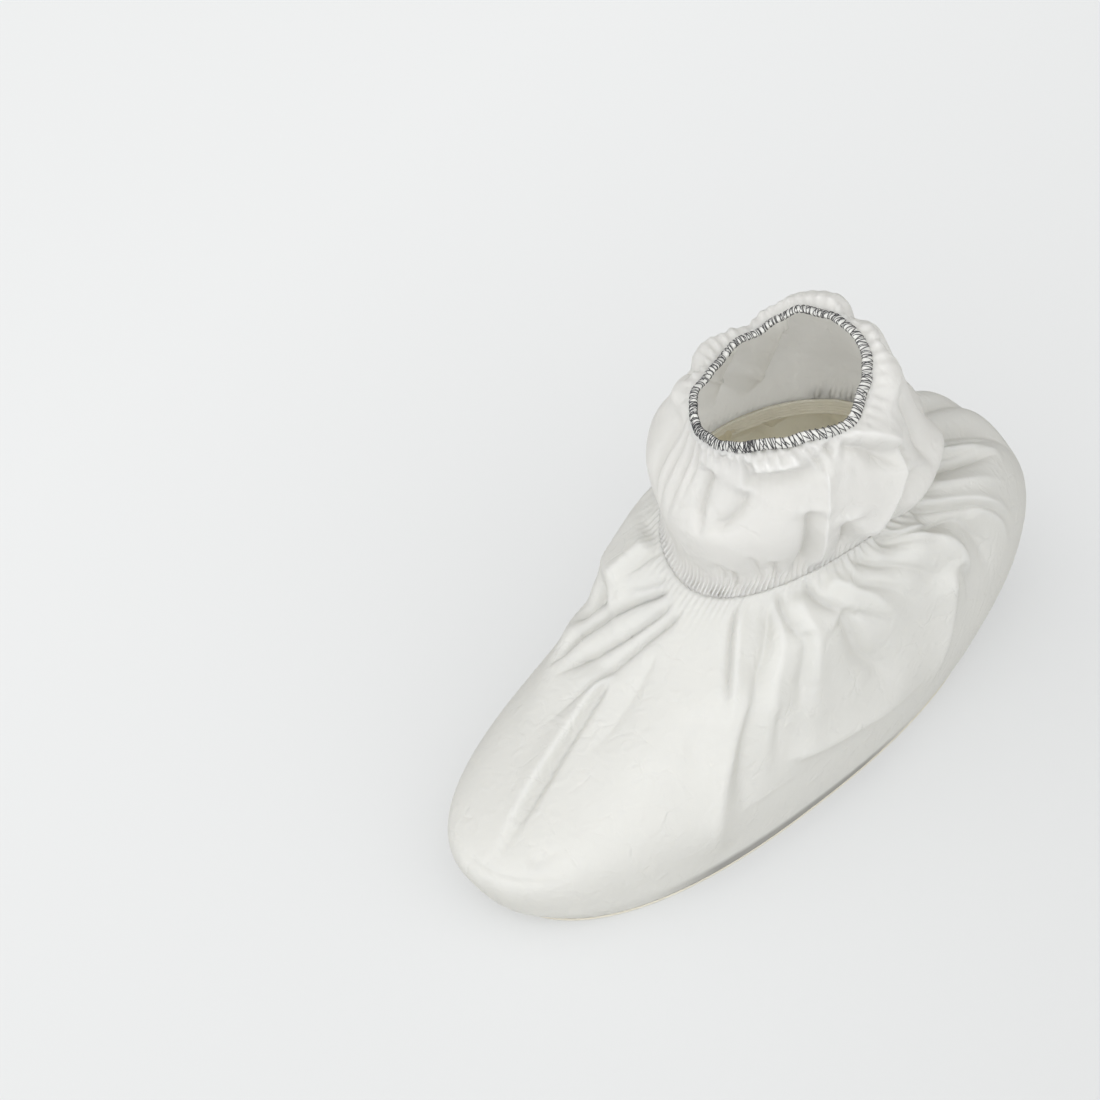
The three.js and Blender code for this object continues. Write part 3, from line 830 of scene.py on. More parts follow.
@dataclass(frozen=True)
class NonwovenCloth:
    """Spunbonded fibre web with a film behind it: a matt, papery white with faint blotches.

    The web of short fibres breaks the light up, so it looks chalky, with a little gloss where the film
    shows through. It keeps small crinkles and creases from handling, and lets part of the light through.
    The web is drawn coarser than it is, so that it shows. Names in mm are millimetres, and the middle of the
    painted grey band of shade and the distances between which it fades are in metres. That band is painted
    shade, low on the near side where the lower wall turns under, away from the light.
    """

    name: str
    colour: str
    shade: str
    roughness: float = 0.62
    fibre_mm: float = 0.9
    crinkle_mm: float = 7.0
    blotch_mm: float = 16.0
    crease_mm: float = 15.0
    crease_height_mm: float = 0.2
    fibre_height_mm: float = 0.03
    crinkle_height_mm: float = 1.0
    translucency: float = 0.3
    # Height in millimetres of the painted grey band of shade low on the near side, 0 for none
    painted_shade_mm: float = 0.0

    POLYPROPYLENE_IOR: ClassVar[float] = 1.49
    # Colour, solid share, middle and fade distances of the painted band of shade low on the near side
    PAINTED_SHADE_COLOUR: ClassVar[str] = "#a9a9a8"
    PAINTED_SHADE_SOLID: ClassVar[float] = 0.6
    PAINTED_SHADE_MIDDLE: ClassVar[tuple[float, float, float]] = (0.066, -0.026, 0.0)
    PAINTED_SHADE_FADE: ClassVar[tuple[float, float]] = (0.05, 0.09)

    def material(self) -> bpy.types.Material:
        """Build the finish.

        Returns:
            The node material.
        """
        made, shader, where = new_finish(self.name)
        tree = made.node_tree
        blotch = add_node(
            tree, "ShaderNodeTexNoise",
            {"Scale": 1 / (self.blotch_mm * MM), "Detail": 4.0, "Roughness": 0.6}, {"Vector": where},
        )
        tint = add_node(
            tree, "ShaderNodeMix",
            {"data_type": "RGBA", 6: hex_colour(self.shade), 7: hex_colour(self.colour)},
            {0: blotch.outputs["Fac"]},
        ).outputs[2]
        # Painted shade: a grey band low on the near side, where the lower wall turns under away from the
        # light
        if self.painted_shade_mm:
            tint = self.paint_sole_shade(tree, where, tint)
        crinkle = add_node(
            tree, "ShaderNodeTexNoise",
            {"noise_type": "RIDGED_MULTIFRACTAL", "Scale": 1 / (self.crinkle_mm * MM), "Detail": 3.0,
             "Roughness": 0.5, "Distortion": 0.6},
            {"Vector": where},
        )
        fibre = add_node(
            tree, "ShaderNodeTexNoise",
            {"Scale": 1 / (self.fibre_mm * MM), "Detail": 3.0, "Roughness": 0.65}, {"Vector": where},
        )
        handled = add_node(
            tree, "ShaderNodeBump", {"Strength": 1.0, "Distance": self.crease_height_mm * MM},
            {"Height": self.handling_creases(tree, where, blotch.outputs["Fac"])},
        )
        creased = add_node(
            tree, "ShaderNodeBump", {"Strength": 0.5, "Distance": self.crinkle_height_mm * MM},
            {"Height": crinkle.outputs["Fac"], "Normal": handled.outputs["Normal"]},
        )
        webbed = add_node(
            tree, "ShaderNodeBump", {"Strength": 0.6, "Distance": self.fibre_height_mm * MM},
            {"Height": fibre.outputs["Fac"], "Normal": creased.outputs["Normal"]},
        )
        tree.links.new(tint, shader.inputs["Base Color"])
        tree.links.new(webbed.outputs["Normal"], shader.inputs["Normal"])
        set_inputs(shader, {
            "Roughness": self.roughness, "IOR": self.POLYPROPYLENE_IOR, "Specular IOR Level": 0.35,
            "Sheen Weight": 0.06, "Sheen Roughness": 0.6,
        })
        through = add_node(
            tree, "ShaderNodeBsdfTranslucent", {},
            {"Color": tint, "Normal": webbed.outputs["Normal"]},
        )
        lit = add_node(
            tree, "ShaderNodeMixShader", {0: self.translucency},
            {1: shader.outputs[0], 2: through.outputs[0]},
        )
        tree.links.new(lit.outputs[0], tree.nodes["Material Output"].inputs["Surface"])
        return made

    def handling_creases(
        self, tree: bpy.types.NodeTree, where: bpy.types.NodeSocket, patches: bpy.types.NodeSocket,
    ) -> bpy.types.NodeSocket:
        """Draw a network of thin creases that shows in patches.

        Args:
            tree: Tree of the finish.
            where: Places on the object.
            patches: Noise that picks where the creases show.

        Returns:
            Heights from 0 in a crease to 1 beside it.
        """
        bends, sway, line_width = 1.5, 0.4, 0.09
        wander = add_node(
            tree, "ShaderNodeTexNoise", {"Scale": bends / (self.crease_mm * MM), "Detail": 2.0},
            {"Vector": where},
        )
        shifted = add_node(
            tree, "ShaderNodeVectorMath", {"operation": "MULTIPLY_ADD", 1: (sway * self.crease_mm * MM,) * 3},
            {0: wander.outputs["Color"], 2: where},
        )
        cells = add_node(
            tree, "ShaderNodeTexVoronoi", {"feature": "DISTANCE_TO_EDGE", "Scale": 1 / (self.crease_mm * MM)},
            {"Vector": shifted.outputs[0]},
        )
        line = add_node(
            tree, "ShaderNodeMapRange", {"interpolation_type": "SMOOTHSTEP", "From Max": line_width},
            {"Value": cells.outputs["Distance"]},
        )
        shown = add_node(
            tree, "ShaderNodeMapRange", {"From Min": 0.48, "From Max": 0.64}, {"Value": patches},
        )
        return add_node(
            tree, "ShaderNodeMix", {2: 1.0}, {0: shown.outputs[0], 3: line.outputs[0]},
        ).outputs[0]

    def paint_sole_shade(
        self, tree: bpy.types.NodeTree, where: bpy.types.NodeSocket, tint: bpy.types.NodeSocket,
    ) -> bpy.types.NodeSocket:
        """Paint a grey band of shade low along the near sole seam, standing in for the shade under the wall.

        Args:
            tree: Tree of the finish.
            where: Places on the object.
            tint: Colour of the cloth above the painted shade.

        Returns:
            The colour with the painted shade.
        """
        top = self.painted_shade_mm * MM
        near, far = self.PAINTED_SHADE_FADE
        place = add_node(tree, "ShaderNodeSeparateXYZ", {}, {0: where})
        low = add_node(
            tree, "ShaderNodeMapRange",
            {"From Min": self.PAINTED_SHADE_SOLID * top, "From Max": top, "To Min": 1.0, "To Max": 0.0},
            {"Value": place.outputs["Z"]},
        )
        away = add_node(
            tree, "ShaderNodeVectorMath", {"operation": "DISTANCE", 1: self.PAINTED_SHADE_MIDDLE}, {0: where},
        )
        beside = add_node(
            tree, "ShaderNodeMapRange", {"From Min": near, "From Max": far, "To Min": 1.0, "To Max": 0.0},
            {"Value": away.outputs["Value"]},
        )
        share = add_node(
            tree, "ShaderNodeMath", {"operation": "MULTIPLY"}, {0: low.outputs[0], 1: beside.outputs[0]},
        )
        return add_node(
            tree, "ShaderNodeMix", {"data_type": "RGBA", 7: hex_colour(self.PAINTED_SHADE_COLOUR)},
            {0: share.outputs[0], 6: tint},
        ).outputs[2]


@dataclass(frozen=True)
class SpunThread:
    """Spun polyester sewing thread: dark, with a faint fuzzy sheen along its twisted plies.

    Sizes are in millimetres.
    """

    name: str
    colour: str
    shade: str
    roughness: float = 0.7
    ply_mm: float = 0.5
    ply_height_mm: float = 0.05

    def material(self) -> bpy.types.Material:
        """Build the finish.

        Returns:
            The node material.
        """
        made, shader, where = new_finish(self.name)
        tree = made.node_tree
        ply = add_node(
            tree, "ShaderNodeTexNoise", {"Scale": 1 / (self.ply_mm * MM), "Detail": 2.0}, {"Vector": where},
        )
        tint = add_node(
            tree, "ShaderNodeMix",
            {"data_type": "RGBA", 6: hex_colour(self.shade), 7: hex_colour(self.colour)},
            {0: ply.outputs["Fac"]},
        )
        bump = add_node(
            tree, "ShaderNodeBump", {"Strength": 0.5, "Distance": self.ply_height_mm * MM},
            {"Height": ply.outputs["Fac"]},
        )
        tree.links.new(tint.outputs[2], shader.inputs["Base Color"])
        tree.links.new(bump.outputs["Normal"], shader.inputs["Normal"])
        set_inputs(shader, {"Roughness": self.roughness, "Sheen Weight": 0.15})
        return made


# The foot bag's outer side is a dull, slightly grey white, with a painted grey band of shade low on its near
# side
UPPER_CLOTH = NonwovenCloth("spunbond_laminate_upper", "#e3e4e3", "#dedfde", translucency=0.4, painted_shade_mm=12.0)
# Its inner side is the film: smoother, creamier, and bright where light comes through
UPPER_FILM = NonwovenCloth("laminate_film_upper", "#f4efe0", "#f0ebda", roughness=0.5, translucency=0.75)
# The cuff is a cleaner white than the foot bag, outside and inside, and glows a little more
CUFF_CLOTH = NonwovenCloth("spunbond_laminate_cuff", "#f1f1f0", "#ececeb", translucency=0.58)
CUFF_FILM = NonwovenCloth("laminate_film_cuff", "#f3f2ef", "#efeeea", roughness=0.5, translucency=0.78)
# The sole is a warmer and rougher white
SOLE_CLOTH = NonwovenCloth("spunbond_laminate_sole", "#e8e4d8", "#e0dcce", roughness=0.7)
# The knitted tape is cream, with a fine, dull knit
ELASTIC_TAPE = NonwovenCloth(
    "knitted_elastic_tape", "#f6f3ea", "#e0dccd", roughness=0.75, fibre_mm=0.7, crinkle_mm=2.4,
)
# The rolled hem is the same cloth, crinkled tightly by its elastic
HEM_CLOTH = NonwovenCloth("spunbond_rolled_hem", "#eeeeea", "#e0e0dc", crinkle_mm=2.5)
# The overlock thread is nearly black, which draws the hem as a dark, scribbled line
DARK_THREAD = SpunThread("spun_polyester_thread", "#3a3a3e", "#1d1d20")


@dataclass(frozen=True)
class Gather:
    """Small gathers along a sewn edge, uneven in height and spacing, sizes in millimetres.

    girth is the edge's length, reach the distance over which they die away from it, and ease the one over
    which they rise beside it. seed_step sets an edge's random draws apart from those of the others.
    """

    height: float
    pitch: float
    girth: float
    reach: float
    ease: float
    seed_step: int

    DRIFT: ClassVar[float] = 1.4
    DRIFT_PITCHES: ClassVar[float] = 2.5
    STRENGTH: ClassVar[float] = 0.75
    STRENGTH_SPREAD: ClassVar[float] = 0.35
    STRENGTH_RANGE: ClassVar[tuple[float, float]] = (0.1, 1.4)
    STRENGTH_PITCHES: ClassVar[float] = 1.5

    def heights(self, thread: Array, distance: Array, seed: int) -> Array:
        """Find the gathers' heights.

        Args:
            thread: Angle of each thread in radians.
            distance: Distance from the edge in millimetres.
            seed: Seed of the cloth.

        Returns:
            Height in millimetres at each point.
        """
        columns = thread.shape[1]
        spread = columns * self.pitch
        first_seed = seed + self.seed_step
        drift = soft_noise(1, columns, 1, spread * self.DRIFT_PITCHES / self.girth, first_seed)
        uneven = soft_noise(1, columns, 1, spread * self.STRENGTH_PITCHES / self.girth, first_seed + 1)
        strength = np.clip(self.STRENGTH + self.STRENGTH_SPREAD * uneven, *self.STRENGTH_RANGE)
        wave = np.cos(round(self.girth / self.pitch) * thread + self.DRIFT * drift)
        waves = strength * wave * np.exp(-distance / self.reach)
        return self.height * waves * smoothstep(0, self.ease, distance)


@dataclass
class ClothTube:
    """A gathered tube of cloth: its loft, its charted folds and how it settles."""

    node: str
    slot: str
    finish: NonwovenCloth
    film: NonwovenCloth
    loft: Loft
    rows: int
    columns: int
    inner_step: int
    seed: int
    settling: Settling
    flat: tuple[float, float]
    area: float
    folds: list[Fold] = field(default_factory=list)
    creases: list[Fold] = field(default_factory=list)
    seams: list[StitchLine] = field(default_factory=list)

    VALLEY_SINK: ClassVar[float] = 1.0
    NUDGE_ROWS: ClassVar[float] = 6
    NUDGE_COLUMNS: ClassVar[float] = 3
    NUDGE_PER_SPARE: ClassVar[float] = 3
    NUDGE_MAX: ClassVar[float] = 0.35

    def angles(self, thread: Array, up: Array) -> Array:
        """Angles of the threads, which run straight up unless a tube turns them."""
        return thread + 0 * up

    def build(self) -> bpy.types.Object:
        """Fold and settle the cloth.

        Returns:
            The shell of cloth.
        """
        up = np.repeat(self.loft.even_rows(self.rows)[:, None], self.columns, axis=1)
        thread = np.repeat(np.linspace(0, TURN, self.columns, endpoint=False)[None, :], self.rows, axis=0)
        angle = self.angles(thread, up)
        base = self.loft.point(angle, up)
        normal = self.loft.normal(angle, up)
        flat_base = base.reshape(-1, 3)
        heights = fold_heights(self.loft, self.folds + self.creases, flat_base).reshape(up.shape)
        sewn = stitch_heights(self.loft, self.seams, flat_base).reshape(up.shape)
        below = np.linalg.norm(base - base[0], axis=-1)
        above = np.linalg.norm(base - base[-1], axis=-1)
        heights = (heights + sewn) * self.edge_ease(below, above)
        heights += self.gathers(thread, below, above)
        places = base + heights[..., None] * normal
        spare_round, spare_up, hold = self.fields(angle, up, below, above)
        hold[[0, -1]] = 1.0
        noise = soft_noise(self.rows, self.columns, self.NUDGE_ROWS, self.NUDGE_COLUMNS, self.seed)
        size = np.minimum(spare_round * self.NUDGE_PER_SPARE, self.NUDGE_MAX)
        nudge = (noise * size)[..., None] * normal
        places = self.settling.run(places, nudge, spare_round, spare_up, hold)
        self.meet(places, normal)
        finishes = [self.finish.material(), self.film.material()]
        return cloth_shell(self.node + "_cloth", places, self.inner_step, self.VALLEY_SINK, finishes)

    def meet(self, places: Array, normal: Array) -> None:
        """Close the gap between the edges and the pieces that they are sewn to, where there is one."""

    def edge_ease(self, below: Array, above: Array) -> Array:
        """Share of the folds' height that is left near the sewn edges."""
        return smoothstep(0, EDGE_EASE, below) * smoothstep(0, EDGE_EASE, above)

    def gathers(self, thread: Array, below: Array, above: Array) -> Array:
        """Height in millimetres of the small gathers at the sewn edges."""
        raise NotImplementedError

    def fields(self, angle: Array, up: Array, below: Array, above: Array) -> tuple[Array, Array, Array]:
        """Spare share of length round, spare share of length up and hold at each point."""
        raise NotImplementedError

    def dress(self, piece: bpy.types.Object, with_pieces: list[bpy.types.Object]) -> None:
        """Tell the frame what the cloth stands for."""
        stand_for(piece, self.node)


class FootUpper(ClothTube):
    """The hollow foot bag, gathered where the ankle seam draws it in."""

    VALLEY_SINK = 1.8
    FLOW = 0.52
    FLOW_END = 0.45
    SOLE_EASES = 4
    ANKLE_GATHER = Gather(0.45, 3.6, ANKLE_GIRTH, 7, 2, 20)
    SOLE_GATHER = Gather(0.3, 6.5, SOLE_GIRTH, 7, 2, 30)

    # The sides lie between these angles in degrees from the toe, and the smooth top of the toe round this
    # share of the way up
    SIDES = (22, 70)
    TOP_ANGLE, TOP_UP, TOP_REACH = 45, 0.58, 0.26

    # Spare shares of length, what the sides add to them, and their reaches in millimetres
    SEAM_SPARE, SEAM_SIDES, SEAM_REACH = 0.06, 0.06, 12
    WALL_SPARE, WALL_SIDES, WALL_REACH = 0.01, 0.03, 60
    SOLE_SPARE, SOLE_REACH = 0.03, 9
    RISE_SIDES, RISE_REACH = 0.025, 90
    EVEN_SPARE = 0.004

    # Hold everywhere, and what the seams and the top of the toe add to it
    HOLD, TOP_HOLD = 0.004, 0.02
    SEAM_HOLD, SEAM_HOLD_REACH = 0.03, 5
    SOLE_HOLD, SOLE_HOLD_REACH = 0.02, 6

    def angles(self, thread: Array, up: Array) -> Array:
        """Turn the threads towards the heel between the ankle seam and the side walls."""
        return thread + self.FLOW * np.sin(thread) * (1 - smoothstep(self.FLOW_END, 1, up))

    def edge_ease(self, below: Array, above: Array) -> Array:
        """Share of the folds' height that is left near the sewn edges."""
        return smoothstep(0, self.SOLE_EASES * EDGE_EASE, below) * smoothstep(0, EDGE_EASE, above)

    def gathers(self, thread: Array, below: Array, above: Array) -> Array:
        """Height in millimetres of the small gathers at the ankle seam and the sole seam."""
        ankle = self.ANKLE_GATHER.heights(thread, above, self.seed)
        return ankle + self.SOLE_GATHER.heights(thread, below, self.seed)

    def fields(self, angle: Array, up: Array, below: Array, above: Array) -> tuple[Array, Array, Array]:
        """Find where the cloth is loose and where it is held.

        Args:
            angle: Angle of each point in radians.
            up: Share of the way up of each point.
            below: Distance from the lower edge in millimetres.
            above: Distance from the upper edge in millimetres.

        Returns:
            Spare share of length round, spare share of length up and hold at each point.
        """
        front = np.abs((np.degrees(angle) + 180) % 360 - 180)
        sides = smoothstep(*self.SIDES, front)
        top = np.exp(-((front / self.TOP_ANGLE) ** 2) - ((up - self.TOP_UP) / self.TOP_REACH) ** 2)
        spare_round = (
            (self.SEAM_SPARE + self.SEAM_SIDES * sides) * np.exp(-above / self.SEAM_REACH)
            + (self.WALL_SPARE + self.WALL_SIDES * sides) * np.exp(-((above / self.WALL_REACH) ** 2))
            + self.SOLE_SPARE * np.exp(-below / self.SOLE_REACH)
            + self.EVEN_SPARE
        )
        spare_up = self.EVEN_SPARE + self.RISE_SIDES * sides * np.exp(-((above / self.RISE_REACH) ** 2))
        hold = (
            self.HOLD
            + self.SEAM_HOLD * np.exp(-above / self.SEAM_HOLD_REACH)
            + self.SOLE_HOLD * np.exp(-below / self.SOLE_HOLD_REACH)
            + self.TOP_HOLD * top
        )
        return spare_round, spare_up, hold


class AnkleCuff(ClothTube):
    """The loose tube round the ankle, gathered at the ankle seam and at its hem."""

    TUCK_UP = 1.6
    ANKLE_GATHER = Gather(0.8, 2.7, ANKLE_GIRTH, 6, 1.5, 20)
    HEM_GATHER = Gather(0.7, 4.6, HEM_GIRTH, 9, 2, 30)

    # The front lies round this angle in radians, and starts and is full at these cosines from it. It is
    # drawn in by this depth just above the ankle seam, within this reach, both in millimetres, and its
    # gathers there are higher by this share
    FRONT_AT = 0.4
    FRONT_EDGES = (0.3, 0.8)
    FRONT_DRAW, FRONT_DRAW_REACH = 2.0, 9.0
    FRONT_GATHER = 0.6

    # Spare shares of length, what the front adds to the hem's, and their reaches in millimetres
    HEM_SPARE, HEM_FRONT, HEM_REACH = 0.06, 0.2, 12
    ANKLE_SPARE, ANKLE_REACH = 0.2, 9
    EVEN_SPARE, RISE_SPARE = 0.02, 0.04

    # Hold everywhere, and what the two sewn edges add to it
    HOLD, EDGE_HOLD, EDGE_HOLD_REACH = 0.005, 0.03, 4

    def gathers(self, thread: Array, below: Array, above: Array) -> Array:
        """Shape the small gathers at the ankle seam and the hem, with the front drawn in.

        Args:
            thread: Angle of each thread in radians.
            below: Distance from the lower edge in millimetres.
            above: Distance from the upper edge in millimetres.

        Returns:
            Height in millimetres at each point.
        """
        ankle = self.ANKLE_GATHER.heights(thread, below, self.seed)
        hem = self.HEM_GATHER.heights(thread, above, self.seed)
        front = smoothstep(*self.FRONT_EDGES, np.cos(thread - self.FRONT_AT))
        reach = below / self.FRONT_DRAW_REACH
        draw = self.FRONT_DRAW * front * reach * np.exp(1 - reach)
        return ankle * (1 + self.FRONT_GATHER * front) + hem - draw

    def meet(self, places: Array, normal: Array) -> None:
        """Meet the top edge of the foot bag, and tuck the highest row into the hem roll."""
        places[0] -= [0, 0, PIECE_GAP]
        places[-1] += self.TUCK_UP * unit(places[-1] - places[-2]) - SOLID_WALL / 2 * normal[-1]

    def fields(self, angle: Array, up: Array, below: Array, above: Array) -> tuple[Array, Array, Array]:
        """Find where the cloth is loose and where it is held.

        Args:
            angle: Angle of each point in radians.
            up: Share of the way up of each point.
            below: Distance from the lower edge in millimetres.
            above: Distance from the upper edge in millimetres.

        Returns:
            Spare share of length round, spare share of length up and hold at each point.
        """
        front = 0.5 + 0.5 * np.cos(angle - self.FRONT_AT)
        spare_round = (
            (self.HEM_SPARE + self.HEM_FRONT * front) * np.exp(-above / self.HEM_REACH)
            + self.ANKLE_SPARE * np.exp(-below / self.ANKLE_REACH)
            + self.EVEN_SPARE
        )
        spare_up = np.full(up.shape, self.RISE_SPARE)
        hold = (
            self.HOLD
            + self.EDGE_HOLD * np.exp(-above / self.EDGE_HOLD_REACH)
            + self.EDGE_HOLD * np.exp(-below / self.EDGE_HOLD_REACH)
        )
        return spare_round, spare_up, hold


@dataclass
class SolePanel:
    """The flat cloth panel under the foot."""

    rings: int = 40
    columns: int = 240
    crease_mm: float = 0.25
    relief_mm: float = 0.3
    seed: int = 71
    node: str = "sole_panel"
    slot: str = "sole_cloth"
    flat: tuple[float, float] = (0.116, 0.319)
    area: float = 0.0315

    def build(self) -> bpy.types.Object:
        """Make an upper and a lower face that meet in a rounded rim.

        Returns:
            The panel.
        """
        flat_top, rim_low, rim_high = SOLE_THICKNESS - self.relief_mm, 0.25, 0.75
        crease_rings, crease_columns, rim_power, bottom_share = 2, 5, 8, 0.5
        loft = Loft(UPPER_SECTIONS, 0)
        angle = np.linspace(0, TURN, self.columns, endpoint=False)
        rim = loft.edge(angle, False)
        middle = rim.mean(axis=0)
        share = np.sqrt(np.linspace(0, 1, self.rings + 1))[1:, None, None]
        disc = middle + share * (rim - middle)[None]
        noise = soft_noise(self.rings, self.columns, crease_rings, crease_columns, self.seed)
        creases = noise * (1 - share[..., 0] ** rim_power) * self.crease_mm
        top, bottom = disc.copy(), disc.copy()
        top[..., 2] = flat_top + np.clip(creases, -2 * self.relief_mm, self.relief_mm)
        bottom[..., 2] = np.clip(creases * bottom_share, 0, self.relief_mm)
        top[-1, :, 2] = SOLE_THICKNESS * rim_high
        bottom[-1, :, 2] = SOLE_THICKNESS * rim_low
        layers = np.concatenate([bottom, top[::-1]])
        count = layers.shape[0] * self.columns
        poles = np.array([[middle[0], middle[1], 0.0], [middle[0], middle[1], flat_top]])
        points = np.concatenate([layers.reshape(-1, 3), poles])
        first = np.arange(self.columns)
        last = count - self.columns + first
        caps = [
            np.stack([np.full(self.columns, count), np.roll(first, -1), first], axis=-1),
            np.stack([np.full(self.columns, count + 1), last, np.roll(last, -1)], axis=-1),
        ]
        quads = grid_quads(layers.shape[0], self.columns, 0)
        return new_mesh(self.node + "_cloth", points, [quads, *caps], SOLE_CLOTH.material())

    def dress(self, piece: bpy.types.Object) -> None:
        """Tell the frame what the panel stands for."""
        stand_for(piece, self.node)


@dataclass
class AnkleElastic:
    """The elastic tape inside the ankle seam, with ribs along its length."""

    stations: int = 400
    ribs: int = 5
    rib_points: int = 8
    rib_mm: float = 0.18
    face_rib_share: float = 0.3
    wave_mm: float = 0.2
    wave_stations: float = 5
    seed: int = 83
    node: str = "ankle_elastic"
    slot: str = "elastic_tape"

    def build(self) -> bpy.types.Object:
        """Sweep the tape's ribbed section round the inside of the ankle seam.

        Returns:
            The tape.
        """
        loft = Loft([ANKLE_SECTION, HEM_SECTION], UPPER_LIFT - TAPE_DROP)
        angle = np.linspace(0, TURN, self.stations, endpoint=False)
        ring = loft.edge(angle, False)
        ahead = np.roll(ring, -1, axis=0) - np.roll(ring, 1, axis=0)
        outward = unit(np.stack([ahead[:, 1], -ahead[:, 0], np.zeros(self.stations)], axis=-1))
        height = np.linspace(-0.5, 0.5, self.rib_points * self.ribs + 1)
        relief = self.rib_mm * (1 - np.abs(np.cos(math.pi * self.ribs * (height + 0.5))))
        depth = -(SOLID_WALL + PIECE_GAP) - relief * self.face_rib_share
        face = np.stack([depth, height * TAPE_WIDTH], axis=-1)
        back = face[::-1] - [TAPE_THICKNESS - self.rib_mm, 0]
        back[:, 0] -= relief[::-1]
        section = np.concatenate([face, back])
        wave = self.wave_mm * soft_noise(1, self.stations, 1, self.wave_stations, self.seed)[0]
        rings = ring[:, None] + section[None, :, :1] * outward[:, None]
        rings[..., 2] += section[None, :, 1] + wave[:, None]
        return swept_ring(self.node + "_tape", rings, ELASTIC_TAPE.material())

    def dress(self, piece: bpy.types.Object) -> None:
        """Tell the frame what the tape stands for."""
        stand_for(piece, self.node)


